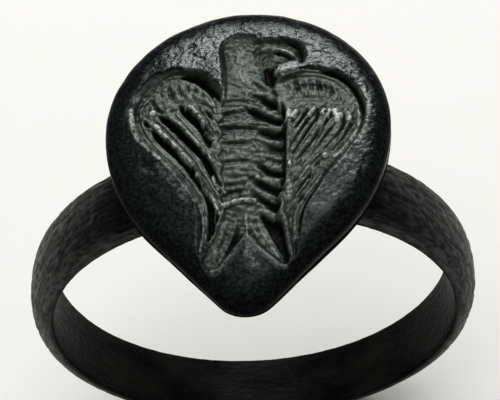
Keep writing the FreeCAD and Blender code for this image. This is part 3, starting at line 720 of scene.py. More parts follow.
# Long wing feathers, each cut from the shoulder down to the flank
left_grooves = [
    ([(-4.66, 0.65), (-4.52, 0.1), (-4.32, -0.38), (-3.98, -0.86), (-3.62, -1.26), (-3.27, -1.66),
      (-2.92, -2.12), (-2.57, -2.64), (-2.22, -3.12), (-1.97, -3.58), (-1.85, -4.2), (-1.78, -5.0),
      (-1.8, -5.9)], 0.08, 0.32, 0.0),
    ([(-4.02, -0.3), (-3.64, -0.78), (-3.32, -1.16), (-2.95, -1.58), (-2.68, -1.92), (-2.42, -2.25),
      (-2.16, -2.7), (-1.9, -3.12), (-1.64, -3.56), (-1.48, -4.06), (-1.42, -4.6), (-1.42, -5.2),
      (-1.5, -5.8)], 0.2, 0.76, 0.1),
    ([(-3.74, 0.48), (-3.36, 0.12), (-2.99, -0.3), (-2.67, -0.7), (-2.36, -1.08), (-2.09, -1.4),
      (-1.83, -1.72), (-1.62, -2.1), (-1.46, -2.5), (-1.31, -2.88), (-1.15, -3.25), (-1.02, -3.6)],
      0.2, 0.76, 0.1),
    ([(-2.88, 0.98), (-2.66, 0.66), (-2.38, 0.3), (-2.1, -0.02), (-1.85, -0.4), (-1.66, -0.82),
      (-1.52, -1.3)], 0.23, 0.76, 0.1),
    ([(-1.78, 0.62), (-1.6, 0.34), (-1.46, 0.08)], 0.15, 0.55, 0.0),
    ([(-3.68, 0.12), (-3.43, -0.2), (-3.13, -0.6), (-2.84, -1.0), (-2.54, -1.38), (-2.27, -1.78),
      (-1.99, -2.2), (-1.77, -2.6), (-1.5, -3.1), (-1.3, -3.5), (-1.12, -3.9)], 0.06, 0.26, 0.0),
    ([(-2.75, 0.1), (-2.5, -0.25), (-2.2, -0.7), (-1.9, -1.15), (-1.65, -1.5), (-1.48, -1.85)],
      0.06, 0.26, 0.0),
    ([(-1.6, -0.3), (-1.42, -0.75), (-1.3, -1.1)], 0.08, 0.36, 0.0),
    ([(-1.4, 1.6), (-1.3, 1.25), (-1.2, 0.95)], 0.09, 0.45, 0.0),
    ([(-1.25, -0.7), (-1.12, -0.9)], 0.09, 0.5, 0.0),
    ([(-1.2, -1.75), (-1.14, -1.9)], 0.1, 0.5, 0.0),
]
right_grooves = [
    ([(4.93, 0.0), (4.8, -0.45), (4.42, -1.1), (4.14, -1.52), (3.9, -1.92), (3.62, -2.28),
      (3.36, -2.68), (3.12, -3.1), (2.88, -3.55), (2.62, -3.98), (2.42, -4.4), (2.26, -5.0),
      (2.18, -5.8)], 0.07, 0.3, 0.0),
    ([(4.52, 0.3), (4.42, -0.3), (4.12, -0.85), (3.72, -1.45), (3.45, -1.78)], 0.08, 0.36, 0.0),
    ([(4.14, 0.28), (4.08, -0.33), (3.86, -0.83), (3.45, -1.4), (3.1, -1.85)], 0.085, 0.42, 0.0),
    ([(3.86, -0.02), (3.55, -0.48), (3.15, -1.12), (2.8, -1.62), (2.42, -2.18)], 0.075, 0.4, 0.0),
    ([(3.6, 0.42), (3.54, 0.15), (3.34, -0.2), (3.0, -0.86), (2.62, -1.6), (2.2, -2.3)],
      0.12, 0.46, -0.1),
    ([(3.14, -0.42), (2.8, -1.1), (2.46, -1.62), (2.02, -2.24)], 0.075, 0.4, 0.0),
    ([(3.03, 0.6), (2.97, 0.0), (2.63, -0.58), (2.19, -1.4), (1.86, -2.02)], 0.085, 0.44, 0.0),
    ([(2.82, 0.26), (2.42, -0.35), (2.04, -1.05), (1.86, -1.42)], 0.07, 0.4, 0.0),
    ([(2.64, 0.62), (2.36, 0.08), (2.02, -0.58)], 0.085, 0.44, 0.0),
    ([(2.3, 0.5), (2.06, 0.08), (1.84, -0.38)], 0.075, 0.4, 0.0),
    ([(1.9, 0.5), (1.74, 0.1)], 0.075, 0.42, 0.0),
    ([(2.84, -1.9), (2.5, -2.5), (2.14, -3.1), (1.86, -3.6)], 0.07, 0.36, 0.0),
    ([(3.15, -2.02), (2.8, -2.6), (2.5, -3.08), (2.2, -3.6), (1.95, -4.1)], 0.07, 0.38, 0.0),
    ([(3.2, -2.62), (2.7, -3.35), (2.36, -3.85), (2.1, -4.35)], 0.07, 0.36, 0.0),
    ([(2.52, -2.0), (2.2, -2.55), (1.9, -3.1)], 0.06, 0.34, 0.0),
]
burnished_wider = 1.2
# the deeper grooves are blackened with painted shade
for course, half_across, keel, lean in left_grooves + right_grooves:
    cut(course, half_across * burnished_wider, keel, lean=lean, run_out=0.4,
        shade_paint=soft_step(keel, 0.35, 0.7))

# Between the grooves the feathers stand as thin ridges, with painted highlights, partly real wear,
# along their crests
left_ridges = [
    ([(-3.91, 0.14), (-3.67, -0.14), (-3.41, -0.46), (-3.15, -0.77), (-2.88, -1.08), (-2.67, -1.4),
      (-2.41, -1.72), (-2.25, -1.93)], 0.13, 1.0),
    ([(-2.09, -2.35), (-1.88, -2.72), (-1.67, -3.09), (-1.46, -3.46), (-1.31, -3.77),
      (-1.22, -4.02), (-0.99, -4.4)], 0.08, 1.0),
    ([(-3.78, 0.42), (-3.46, 0.07), (-3.15, -0.35), (-2.83, -0.77), (-2.52, -1.19), (-2.2, -1.61),
      (-1.99, -1.93), (-1.78, -2.35), (-1.52, -2.77), (-1.31, -3.19), (-1.09, -3.56)], 0.06, 0.4),
    ([(-3.36, 0.66), (-3.02, 0.36), (-2.78, 0.12), (-2.56, -0.18), (-2.3, -0.54), (-2.03, -0.9),
      (-1.78, -1.26), (-1.58, -1.52), (-1.41, -1.8)], 0.08, 0.8),
    ([(-1.41, -2.35), (-1.25, -2.77), (-1.04, -3.09), (-0.88, -3.3)], 0.08, 1.0),
    ([(-2.98, 0.72), (-2.76, 0.4), (-2.5, 0.04), (-2.26, -0.28), (-2.0, -0.68), (-1.74, -1.08),
      (-1.48, -1.45)], 0.06, 0.5),
    ([(-2.6, 1.08), (-2.34, 1.0), (-2.12, 0.72), (-1.94, 0.4), (-1.8, 0.1)], 0.12, 0.9),
    ([(-1.78, -0.12), (-1.57, -0.46), (-1.41, -0.68)], 0.08, 0.5),
    ([(-1.9, 0.85), (-1.62, 0.42), (-1.46, 0.02), (-1.31, -0.3)], 0.06, 0.5),
    ([(-4.48, 0.4), (-4.33, 0.0), (-4.09, -0.46), (-3.78, -0.94), (-3.46, -1.32), (-3.09, -1.74),
      (-2.83, -2.06), (-2.52, -2.48), (-2.25, -2.84), (-1.99, -3.26), (-1.78, -3.58)], 0.06, 0.35),
    ([(-1.9, -3.95), (-1.72, -4.7), (-1.72, -5.4), (-1.82, -6.2)], 0.07, 0.4),
    ([(-1.62, -4.0), (-1.56, -4.6), (-1.56, -5.1), (-1.62, -5.7)], 0.06, 0.3),
]
right_ridges = [
    ([(2.47, 0.62), (1.97, -0.27), (1.83, -0.6)], 0.055, 0.5),
    ([(2.88, 0.68), (2.78, 0.6), (2.47, 0.12), (2.08, -0.55)], 0.06, 0.8),
    ([(2.94, 0.02), (2.52, -0.77), (2.02, -1.55), (1.9, -1.85)], 0.05, 0.45),
    ([(3.5, 0.66), (3.24, -0.03), (2.91, -0.83), (2.52, -1.55), (2.13, -2.1)], 0.055, 0.6),
    ([(3.69, -0.03), (3.41, -0.38), (3.02, -1.05), (2.69, -1.55), (2.3, -2.1)], 0.055, 0.45),
    ([(4.02, -0.48), (3.8, -0.77), (3.36, -1.33), (2.97, -1.72), (2.63, -2.1)], 0.06, 0.45),
    ([(4.3, -0.03), (4.1, -0.5), (3.93, -0.88), (3.6, -1.35)], 0.06, 0.45),
    ([(4.68, 1.0), (4.78, 0.4), (4.7, -0.22), (4.5, -0.72), (4.22, -1.16), (3.95, -1.55),
      (3.69, -1.77)], 0.11, 0.75),
    ([(3.25, -2.4), (2.92, -3.05), (2.6, -3.5), (2.25, -4.1), (2.05, -4.5), (2.0, -5.2),
      (2.03, -5.9)], 0.07, 0.4),
    ([(2.7, -2.0), (2.3, -2.7), (1.9, -3.3)], 0.06, 0.5),
    ([(3.0, -2.2), (2.6, -2.9), (2.1, -3.65)], 0.06, 0.5),
    ([(3.35, -2.15), (2.85, -2.9), (2.4, -3.6)], 0.06, 0.4),
    ([(2.4, -2.0), (2.1, -2.55), (1.85, -3.0)], 0.05, 0.4),
]
for course, half_across, highlight_and_wear in left_ridges + right_ridges:
    leave(course, half_across, 0.1, highlight_and_wear)
# Raised chips on both wings, painted near white as glints
glinting_chips = [
    ([(1.8, 0.6), (1.72, 0.28)], 0.13), ([(2.08, 0.56), (1.96, 0.28)], 0.14),
    ([(2.88, 0.72), (2.66, 0.36)], 0.1), ([(3.32, 0.64), (3.22, 0.48)], 0.13),
    ([(3.54, 0.62), (3.44, 0.3)], 0.07), ([(3.76, 0.6), (3.86, 0.12)], 0.17),
    ([(4.0, 0.44), (3.96, 0.26)], 0.14), ([(4.3, 0.46), (4.37, 0.05)], 0.15),
    ([(1.86, -2.02), (1.8, -2.18)], 0.11), ([(3.33, -1.68), (3.26, -1.74)], 0.14),
    ([(-4.04, 0.88)], 0.19), ([(-3.86, 0.14), (-3.74, 0.02)], 0.13),
    ([(-2.5, 1.05), (-2.3, 0.98)], 0.1), ([(-1.92, 0.32), (-1.84, 0.18)], 0.1),
]
for course, half_across in glinting_chips:
    leave(course, half_across, 0.15, 1.8)
# Raised lumps with painted highlights
highlighted_lumps = [
    ([(1.78, -0.9), (1.74, -1.5)], 0.1), ([(1.76, -3.0), (1.78, -3.7)], 0.25),
    ([(2.85, -2.45)], 0.24), ([(3.3, -2.3)], 0.15),
]
for course, half_across in highlighted_lumps:
    leave(course, half_across, 0.12, 0.5)
scoop((2.68, -2.78), 0.1, 0.1, 0.5)
# Painted highlights along the wings' outer edges and above the right wing, and broad patches of
# painted sheen on the field; nothing is raised
highlight_strips = [
    ([(-4.96, 1.0), (-4.9, 0.5), (-4.76, -0.08), (-4.54, -0.6), (-4.17, -1.02), (-3.8, -1.44),
      (-3.43, -1.81)], 0.15, 0.6),
    ([(-4.96, 1.0), (-4.92, 0.6), (-4.84, 0.2)], 0.14, 0.8),
    ([(-3.46, -1.78), (-3.36, -1.88)], 0.16, 0.7),
    ([(-3.43, -1.81), (-3.01, -2.34), (-2.59, -2.97), (-2.27, -3.39), (-2.06, -3.76)], 0.2, 0.32),
    ([(4.86, 1.95), (5.13, 1.22), (5.14, 0.38)], 0.12, 0.6),
    ([(5.08, -0.05), (4.9, -0.7), (4.63, -1.15)], 0.16, 0.45),
    ([(1.25, 2.7), (1.6, 2.88), (2.1, 3.05)], 0.2, 0.55),
    ([(0.15, -6.1), (0.35, -6.75)], 0.4, 0.32),
    ([(-3.6, -2.0), (-3.0, -2.8), (-2.45, -3.7)], 0.32, 0.2),
    ([(4.2, -1.9), (3.6, -3.0), (2.9, -4.3)], 0.7, 0.12),
]
for course, half_across, highlight_and_wear in highlight_strips:
    leave(course, half_across, 0.0, highlight_and_wear)

# Head turned to the right: a rounded bowl, with the hooked beak cut beside it
head_and_beak = [
    (-1.2, 1.0), (-1.13, 1.6), (-1.13, 2.2), (-1.16, 2.8), (-1.22, 3.35), (-1.29, 3.95),
    (-1.24, 4.4), (-1.02, 4.76), (-0.74, 4.96), (-0.4, 5.03), (0.0, 5.03), (0.32, 4.96),
    (0.55, 4.8), (1.0, 4.76), (1.6, 4.73), (1.95, 4.55), (2.35, 4.32), (2.54, 4.02), (2.64, 3.62),
    (2.54, 3.27), (2.36, 3.06), (2.18, 3.22), (1.95, 3.24), (1.68, 3.15), (1.3, 2.96), (1.14, 2.8),
    (1.2, 2.4), (1.35, 1.9), (1.4, 1.2),
]
# the bowl's border is darkened inside with painted shade
sink(head_and_beak, 0.35, wall=0.3, slope=(0.055, 0), ease=(5.8, 3.6), shade_paint=0.24)
# the line behind the cheek, the cheek, and the beak's hook, each darkened with painted shade
cut([(0.5, 4.85), (0.46, 4.3), (0.42, 3.9), (0.4, 3.5)],
    0.24, 0.1, drop=0.08, run_out=0.5, shade_paint=0.4)
cut([(0.78, 4.02), (0.74, 3.15)], 0.5, 0.1, drop=0.06, run_out=0.15, shade_paint=0.62)
cut([(1.5, 4.4), (1.85, 4.24), (2.15, 4.0), (2.36, 3.64), (2.38, 3.3)],
    0.22, 0.42, run_out=0.6, shade_paint=0.5)
# the upper beak, the mouth darkened with painted shade and its edge lit by a painted highlight, and
# the lower beak
leave([(0.62, 4.16), (1.1, 4.2), (1.55, 4.1), (1.95, 3.85), (2.2, 3.5)], 0.17, 0.1, 0.2)
cut([(0.98, 3.92), (1.35, 3.86), (1.65, 3.74), (1.9, 3.54)], 0.1, 0.2, drop=0.1, shade_paint=0.8)
leave([(1.08, 4.06), (1.42, 4.08), (1.74, 3.98), (2.0, 3.78), (2.2, 3.46)], 0.08, 0.13, 1.3)
leave([(1.15, 3.6), (1.5, 3.5), (1.75, 3.45)], 0.14, 0.06, 0.1)
# the throat darkened with a painted shadow, a crease below it, and the swell of the neck with a
# painted highlight
cut([(0.95, 3.1), (0.86, 2.8), (0.88, 2.4), (1.0, 2.05), (1.18, 1.65)],
    0.42, 0.58, lean=0.1, run_out=0.5, shade_paint=1.0)
cut([(0.2, 2.25), (0.5, 1.98), (0.85, 1.72)], 0.14, 0.2, drop=0.12)
leave([(-0.3, 3.8), (-0.38, 3.3), (-0.3, 2.7), (-0.1, 2.3)], 0.45, 0.04, 0.22)
# flecks of painted highlight on the neck
flecks = [
    [(-0.2, 3.5), (-0.25, 3.3)], [(-0.35, 2.9), (-0.28, 2.65)], [(-0.22, 2.5), (-0.12, 2.3)],
    [(0.28, 2.2), (0.36, 2.05)], [(-0.5, 1.95), (-0.46, 1.85)], [(-1.0, 1.5), (-1.0, 1.36)],
]
for fleck in flecks:
    leave(fleck, 0.09, 0.03, 0.5)

# Body: a hollow that deepens to the right, crossed by feather rows that step down it
body_and_tail = [
    (-1.08, 3.0), (-1.03, 2.1), (-1.15, 1.3), (-1.35, 0.95), (-1.15, 0.5), (-1.42, 0.1),
    (-1.2, -0.4), (-1.42, -0.8), (-1.2, -1.2), (-1.4, -1.6), (-1.15, -2.0), (-1.32, -2.5),
    (-1.08, -3.0), (-1.2, -3.6), (-1.05, -4.3), (-1.15, -4.8), (-1.38, -5.4), (-1.68, -5.95),
    (-1.82, -6.35), (-1.75, -6.75), (-1.5, -7.08), (-1.2, -7.12), (-0.85, -6.75), (-0.45, -6.2),
    (-0.08, -5.72), (0.08, -5.48), (0.28, -5.7), (0.62, -6.1), (1.05, -6.5), (1.5, -6.82),
    (1.82, -6.78), (1.82, -6.1), (1.7, -5.4), (1.55, -4.75), (1.46, -4.35), (1.6, -4.0),
    (1.5, -3.6), (1.72, -3.1), (1.62, -2.7), (1.8, -2.3), (1.68, -1.75), (1.82, -1.3),
    (1.66, -0.85), (1.82, -0.4), (1.66, 0.1), (1.7, 0.45), (1.52, 0.9), (1.35, 1.6), (1.22, 2.1),
    (1.1, 2.6), (0.6, 3.0),
]
sink(body_and_tail, 0.4, wall=0.24, slope=(0.07, 0), ease=(3.4, 0.6))
left_rows = [
    ([(-1.15, 1.12), (-0.75, 1.2), (-0.2, 1.28), (0.3, 1.25)], 0.2, 0.04),
    ([(-1.2, 0.48), (-0.9, 0.6), (-0.4, 0.7), (0.1, 0.8)], 0.2, 0.06),
    ([(-1.2, -0.1), (-0.8, -0.12), (-0.2, -0.12), (0.5, -0.25)], 0.3, 0.1),
    ([(-1.1, -0.92), (-0.6, -0.9), (0.1, -0.92), (0.4, -1.0)], 0.16, 0.11),
    ([(-1.12, -1.92), (-0.6, -1.82), (0.0, -1.8), (0.4, -1.88)], 0.14, 0.1),
    ([(-1.0, -2.62), (-0.5, -2.6), (0.05, -2.52)], 0.13, 0.08),
    ([(-1.0, -3.05), (-0.5, -2.96), (0.1, -2.9)], 0.14, 0.1),
    ([(-1.05, -3.62), (-0.5, -3.32), (0.0, -3.22)], 0.18, 0.13),
    ([(-1.0, -3.86), (-0.6, -3.68), (-0.1, -3.5)], 0.09, 0.08),
]
right_slashes = [
    ([(0.2, 1.38), (0.55, 1.3), (0.8, 1.16), (1.1, 0.9), (1.28, 0.7)], 0.24, 0.28),
    ([(-0.15, 0.9), (0.2, 0.66), (0.55, 0.42), (0.95, 0.24), (1.3, 0.1), (1.62, 0.02)], 0.24, 0.3),
    ([(0.3, -0.3), (0.6, -0.42), (0.95, -0.58), (1.3, -0.62), (1.66, -0.6)], 0.28, 0.3),
    ([(0.45, -0.95), (0.8, -1.15), (1.15, -1.35), (1.6, -1.5)], 0.26, 0.16),
    ([(0.35, -2.02), (0.65, -2.26), (0.95, -2.46), (1.3, -2.58), (1.68, -2.62)], 0.2, 0.28),
    ([(0.2, -2.85), (0.55, -3.06), (0.9, -3.22), (1.25, -3.4), (1.58, -3.62)], 0.26, 0.3),
    ([(0.25, -3.42), (0.55, -3.72), (0.9, -3.96), (1.25, -4.24), (1.42, -4.42)], 0.2, 0.28),
    ([(0.5, -3.4), (0.85, -3.62), (1.3, -3.9)], 0.08, 0.12),
    ([(0.7, -1.75), (1.1, -1.95), (1.55, -2.05)], 0.12, 0.12),
]
for row, half_across, drop in left_rows:
    cut(row, half_across, 0.1, lean=-0.5, run_out=0.4, drop=drop)
for slash, half_across, drop in right_slashes:
    cut(slash, half_across, 0.4, lean=-0.2, run_out=0.2, drop=drop, run_in=0.9)
# the deep cut down the right flank, darkened with painted shade, and painted highlights on the bars'
# spots
cut([(1.5, 0.85), (1.57, 0.3), (1.6, -0.5), (1.58, -1.3), (1.58, -2.2), (1.56, -2.9), (1.46, -3.5)],
    0.17, 0.66, run_out=0.5, shade_paint=0.9)
leave([(0.5, -2.6)], 0.15, 0.14, 1.0)
leave([(0.0, 1.06), (0.3, 0.98)], 0.08, 0.06, 0.6)
leave([(0.35, -0.9), (0.5, -1.15)], 0.1, 0.06, 0.3)
leave([(-0.8, 0.82), (-0.45, 0.92), (-0.1, 0.98)], 0.06, 0.04, 0.3)
leave([(-0.92, -3.98), (-0.7, -3.88), (-0.35, -3.76), (0.0, -3.72), (0.35, -3.74)], 0.15, 0.2, 1.0)

# Tail: two lobes parted by bare metal, each with its own grooves and ribs
tail_cuts = [
    ([(-1.0, -4.3), (-1.18, -4.8), (-1.36, -5.4)], 0.16, 0.55),
    ([(-0.58, -4.7), (-0.68, -5.2), (-0.9, -5.9), (-1.15, -6.5)], 0.1, 0.5),
    ([(-0.22, -5.0), (-0.36, -5.5), (-0.62, -6.1), (-0.95, -6.7)], 0.13, 0.54),
    ([(-1.0, -5.2), (-1.2, -5.8), (-1.42, -6.3)], 0.08, 0.46),
    ([(0.32, -4.7), (0.6, -5.25), (0.95, -5.85), (1.4, -6.45)], 0.1, 0.54),
    ([(0.12, -5.1), (0.4, -5.55), (0.75, -5.95), (1.15, -6.35)], 0.09, 0.52),
]
for course, half_across, keel in tail_cuts:
    cut(course, half_across, keel, run_out=0.5)
# the deep wedge beside the right lobe, and the ribs and edges lightened with painted highlights
sink([(0.45, -4.25), (0.9, -4.42), (1.3, -4.62), (1.56, -4.85), (1.66, -5.4), (1.76, -6.0),
      (1.85, -6.6), (1.68, -6.55), (1.36, -6.1), (1.02, -5.5), (0.74, -4.95)], 0.8, wall=0.14)
leave([(-0.85, -5.0), (-1.1, -5.8), (-1.38, -6.6)], 0.42, 0.13, 0.28)
ribs = [
    ([(-0.4, -4.7), (-0.5, -5.2), (-0.76, -5.95), (-1.05, -6.55)], 0.35),
    ([(0.02, -4.4), (0.04, -4.9), (0.06, -5.35)], 0.6),
    ([(-0.8, -4.9), (-0.92, -5.4), (-1.15, -6.0)], 0.25),
    ([(0.2, -4.8), (0.5, -5.35), (0.85, -5.85), (1.3, -6.3)], 0.4),
    ([(0.5, -4.8), (0.8, -5.4), (1.15, -6.0), (1.5, -6.5)], 0.5),
    ([(-1.35, -6.95), (-1.15, -7.0)], 0.7),
    ([(1.62, -4.6), (1.74, -5.4), (1.86, -6.2)], 0.35),
]
for course, highlight_and_wear in ribs:
    leave(course, 0.07, 0.07, highlight_and_wear)

# Wear: rough floors where the graver slipped and dirt has settled, and small pits on the field
x, y = face.T
carved = soft_step(depth, 0.02, 0.14)
rough = value_noise(face, 0.15, 21) + 0.6 * value_noise(face, 0.08, 22)
left_end, body_edge, right_start, stroke_top, stroke_length = -1.15, 1.15, 1.68, 1.2, 5
strokes = [(x < left_end, 52), (x > right_start, -58), (abs(x) < body_edge, 4)]
full_depth, stroke_relief, floor_relief = 0.35, 0.03, 0.028
for region, heading in strokes:
    cosine, sine = math.cos(math.radians(heading)), math.sin(math.radians(heading))
    along, across = x * cosine - y * sine, x * sine + y * cosine
    marks = value_noise(np.column_stack([along / stroke_length, across]), 0.09, 27)
    depth += stroke_relief * marks * np.clip(depth / full_depth, 0, 1) * region * (y < stroke_top)
depth += floor_relief * rough * np.clip(depth / full_depth, 0, 1)
pits = np.clip(value_noise(face, 0.17, 23) - 0.5, 0, 1)
grains = value_noise(face, 0.13, 26) + 0.5 * value_noise(face, 0.07, 28)
unevenness = 0.03 * value_noise(face, 1.6, 24) + 0.02 * value_noise(face, 0.5, 25)
unevenness += 0.03 * soft_step(rim_share, 0.1, 0.6) * value_noise(face, 0.75, 29)
grainy = 0.3 + 0.7 * soft_step(0.55 * y + 0.45 * x, -2.2, 1.2)
field_relief = (0.05 * pits - 0.015 * grains) * grainy * (1 - rim_share ** 3)
field_drop = 0.03
depth += (1 - carved) * (field_relief + field_drop + unevenness)
net = depth.reshape(grid_steps + 1, grid_steps + 1)


def neighbours(levels):
    """Add up the four neighbours of every inner point of the net."""
    return levels[2:, 1:-1] + levels[:-2, 1:-1] + levels[1:-1, 2:] + levels[1:-1, :-2]


# Proud edges stand above the metal close by; sunk grooves lie below the metal farther off
net[1:-1, 1:-1] = 0.5 * net[1:-1, 1:-1] + 0.125 * neighbours(net)
close_steps, far_steps = 14, 100
proud_range, sunk_start, sunk_range = 0.09, -0.03, 0.15
blurred = net.copy()
for step in range(far_steps):
    blurred[1:-1, 1:-1] = 0.2 * (blurred[1:-1, 1:-1] + neighbours(blurred))
    if step == close_steps - 1:
        close_by = blurred.copy()
# these feed painted shade in hollows and corners, and a faint painted highlight on proud edges
proud = np.clip((close_by - net).ravel() / proud_range, -1, 1)
hollow_shade = np.clip(((net - blurred).ravel() - sunk_start) / sunk_range, 0, 1)
# the cuts' painted shade joins the hollows' painted shade
hollow_shade = np.maximum(hollow_shade, painted_shade)
face_level = UNDERSIDE + PLATE_THICKNESS - rim_drop - dome_drop - depth

# The rim's dark edge, painted by turning its sheen down, is wider at the crown; the field's sheen is
# painted lower on the left and lower right as painted shade
edge_width = rim_width + 0.4 * soft_step(y, 0.5, 5)
dark_edge = 1 - edge_gap / edge_width + 0.1 * value_noise(face, 0.5, 35)
painted_sheen_falloff = 0.3 + 0.7 * soft_step(0.25 * y + 0.75 * x, -3.6, -0.4)
painted_sheen_falloff *= 1 - 0.3 * soft_step(x - 0.8 * y, 3.5, 6.5)
painted_sheen_falloff *= 0.88 + 0.25 * value_noise(face, 0.9, 36)

# Below the face: the plate's side, its softened lower edge and its flat underside
stride = grid_steps + 1
walk = [i * stride for i in range(grid_steps)]
walk += [grid_steps * stride + i for i in range(grid_steps)]
walk += [(grid_steps - i) * stride + grid_steps for i in range(grid_steps)]
walk += [grid_steps - i for i in range(grid_steps)]
rim_points = face[walk]
rim_levels = face_level[walk]
bottom_bevel, side_wander, underside_dip = 0.15, 0.015, 0.02
wander = value_noise(rim_points, 0.9, 31) * side_wander
points = [np.column_stack([face, face_level])]
# each ring's shrink, and its share of the side's height, or below 0 of the bevel's
steps_down = [(0.0, 0.55), (0.0, 0.15), (0.0, 0.0), (bottom_bevel * 0.3, -0.7), (bottom_bevel, -1.0)]
for shrink, height_share in steps_down:
    if height_share >= 0:
        level = UNDERSIDE + bottom_bevel + (rim_levels - UNDERSIDE - bottom_bevel) * height_share
    else:
        level = np.full(len(walk), UNDERSIDE + bottom_bevel * (1 + height_share))
    pull = 1 - (shrink + wander * (height_share < 0.5)) / np.hypot(*rim_points.T)
    points.append(np.column_stack([rim_points * pull[:, None], level]))
for share in (0.8, 0.5, 0.2):
    flat_ring = points[len(steps_down)][:, :2] * share
    dip = underside_dip * value_noise(flat_ring, 0.8, 33)
    points.append(np.column_stack([flat_ring, UNDERSIDE + np.abs(dip)]))
points.append(np.array([[0, 0, UNDERSIDE]]))
ring_length = len(walk)
ring_starts = [stride * stride + number * ring_length for number in range(len(points) - 2)]
rings = [walk] + [list(range(start, start + ring_length)) for start in ring_starts]
points = np.vstack(points)
faces = []
for column in range(grid_steps):
    for row in range(grid_steps):
        corner = column * stride + row
        faces.append((corner, corner + stride, corner + stride + 1, corner + 1))
for upper, lower in zip(rings, rings[1:]):
    for index in range(ring_length):
        following = (index + 1) % ring_length
        faces.append((upper[index], lower[index], lower[following], upper[following]))
for index in range(ring_length):
    faces.append((rings[-1][index], len(points) - 1, rings[-1][(index + 1) % ring_length]))

# Set the plate on the hoop: turned a little and off the middle, as its maker left it
bezel_turn, bezel_shift = math.radians(-3.0), (0.6, 1.2)
turned = np.column_stack([
    points[:, 0] * math.cos(bezel_turn) - points[:, 1] * math.sin(bezel_turn) + bezel_shift[0],
    points[:, 0] * math.sin(bezel_turn) + points[:, 1] * math.cos(bezel_turn) + bezel_shift[1],
    points[:, 2]])
bezel_mesh = bpy.data.meshes.new("engraved_bezel")
bezel_mesh.from_pydata((turned * MM).tolist(), [], faces)
bezel_mesh.shade_smooth()
painted_values = {
    "cut_depth": depth, "proud_edges": proud, "painted_hollow_shade": hollow_shade, "highlight_and_wear_paint": painted_highlight_and_wear,
    "rim": np.clip(dark_edge, 0, 1), "field_grain": grainy, "painted_sheen_falloff": painted_sheen_falloff}
for label, values in painted_values.items():
    painted = np.zeros(len(points), np.float32)
    painted[:len(face)] = values
    bezel_mesh.attributes.new(label, "FLOAT", "POINT").data.foreach_set("value", painted)

# Black-patinated bronze, engraved: a glossy near-black skin with a bluish grain on the field, and
# dusty grey-green dirt dulling the floors of the cuts
bezel_skin, tree = new_material("black_patinated_bronze_engraved")
painted_on = {label: add_node(tree, "ShaderNodeAttribute", attribute_name=label).outputs["Fac"]
              for label in painted_values}
place = add_node(tree, "ShaderNodeTexCoord").outputs["Object"]
place_mm = add_node(tree, "ShaderNodeVectorMath", {0: place, 1: (per_mm,) * 3}, operation="MULTIPLY")
patches = add_node(tree, "ShaderNodeTexNoise", {"Vector": place_mm, "Scale": 0.9, "Detail": 4.0})
speckle = add_node(tree, "ShaderNodeTexNoise", {
    "Vector": place_mm, "Scale": 7.0, "Detail": 2.0, "Roughness": 0.55})
in_cut = add_node(tree, "ShaderNodeMapRange", {
    "Value": painted_on["cut_depth"], "From Min": 0.07, "From Max": 0.16})
skin = add_node(tree, "ShaderNodeValToRGB", {"Fac": speckle})
set_ends(skin, "#0B0C0C", "#1B1E20", 0.4, 0.72)
dust = add_node(tree, "ShaderNodeValToRGB", {"Fac": patches})
set_ends(dust, "#191D17", "#3A4237", 0.35, 0.7)

# Painted shade darkens tight corners, deep hollows and the cuts' painted shade, weakly on the field
corner_shade = add_node(tree, "ShaderNodeMapRange", {
    "Value": painted_on["proud_edges"], "From Min": 0.0, "From Max": -0.8, "To Max": 0.95})
cut_shade_weight = add_node(tree, "ShaderNodeMapRange", {"Value": in_cut, "To Min": 0.15, "To Max": 1.0})
darkest_shade = add_node(tree, "ShaderNodeMath", {
    0: corner_shade, 1: painted_on["painted_hollow_shade"]}, operation="MAXIMUM")
painted_recess_shade = add_node(tree, "ShaderNodeMath", {0: darkest_shade, 1: cut_shade_weight}, operation="MULTIPLY")

# Painted highlights, partly real wear to bare metal, show in flecks on the crests, chips and strips,
# and faintly on every proud edge
broken = add_node(tree, "ShaderNodeMapRange", {
    "Value": speckle, "From Min": 0.4, "From Max": 0.56, "To Min": 0.22})
proud_share = add_node(tree, "ShaderNodeMapRange", {
    "Value": painted_on["proud_edges"], "From Min": 0.05, "From Max": 0.8})
faint_edge_highlight = add_node(tree, "ShaderNodeMath", {0: proud_share, 1: 0.16}, operation="MULTIPLY")
highlight_and_wear_power = add_node(tree, "ShaderNodeMath", {
    0: painted_on["highlight_and_wear_paint"], 1: 1.4}, operation="POWER")
highlight_and_wear_share = add_node(tree, "ShaderNodeMath", {0: faint_edge_highlight, 1: highlight_and_wear_power}, operation="MAXIMUM")
highlight_and_wear_mix = add_node(tree, "ShaderNodeMath", {
    0: broken, 1: highlight_and_wear_share}, operation="MULTIPLY", use_clamp=True)

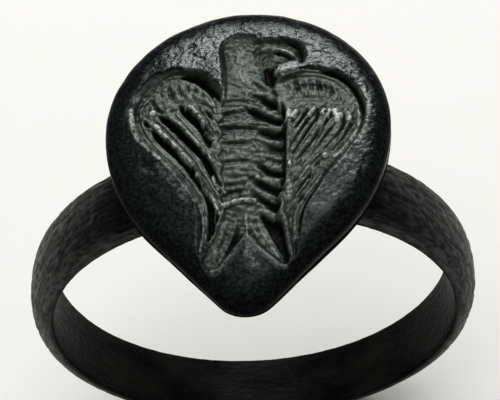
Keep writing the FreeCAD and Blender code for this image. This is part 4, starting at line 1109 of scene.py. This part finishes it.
# Skin, then dust, painted shade and a painted highlight, partly bare metal, over it; a colour mix
# takes and gives colours at these sockets
share_in, under_in, over_in, colour_out = 0, 6, 7, 2
colour = skin
for share, layer in ((in_cut, dust), (painted_recess_shade, linear("#090A09")), (highlight_and_wear_mix, linear("#C6CEC3"))):
    colour = add_node(tree, "ShaderNodeMix", {
        share_in: share, under_in: colour, over_in: layer}, data_type="RGBA").outputs[colour_out]

# The field is glossy and grainy; its sheen is turned down on the rim, in the painted-shade recesses,
# and on the left and lower right of the field, all painted shade
gloss_field = add_node(tree, "ShaderNodeMapRange", {
    "Value": speckle, "From Min": 0.3, "From Max": 0.7, "To Min": 0.2, "To Max": 0.34})
gloss_cut = add_node(tree, "ShaderNodeMapRange", {"Value": in_cut, "To Min": 0.0, "To Max": 0.14})
gloss = add_node(tree, "ShaderNodeMath", {0: gloss_field, 1: gloss_cut}, operation="ADD")
fine = add_node(tree, "ShaderNodeBump", {
    "Height": speckle, "Strength": painted_on["field_grain"], "Distance": 0.022 * MM})
rim_sheen = add_node(tree, "ShaderNodeMapRange", {
    "Value": painted_on["rim"], "From Min": 0.12, "From Max": 0.52, "To Min": 0.5, "To Max": 0.03})
# the painted shade also turns the sheen down
shade_dulled_sheen = add_node(tree, "ShaderNodeMapRange", {"Value": painted_recess_shade, "To Min": 1.0, "To Max": 0.12})
sheen = add_node(tree, "ShaderNodeMath", {0: rim_sheen, 1: shade_dulled_sheen}, operation="MULTIPLY")
sheen_falloff_off_cuts = add_node(tree, "ShaderNodeMath", {0: painted_on["painted_sheen_falloff"], 1: in_cut}, operation="MAXIMUM")
sheen = add_node(tree, "ShaderNodeMath", {0: sheen, 1: sheen_falloff_off_cuts}, operation="MULTIPLY")
bronze = add_node(tree, "ShaderNodeBsdfPrincipled", {
    "Base Color": colour, "Roughness": gloss, "Normal": fine,
    "Specular IOR Level": sheen, "Specular Tint": linear("#EEFAF4")})
add_node(tree, "ShaderNodeOutputMaterial", {"Surface": bronze})
bezel_mesh.materials.append(bezel_skin)
bezel = join_scene("engraved_bezel", bezel_mesh)
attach(bezel, "root")
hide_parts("bezel")
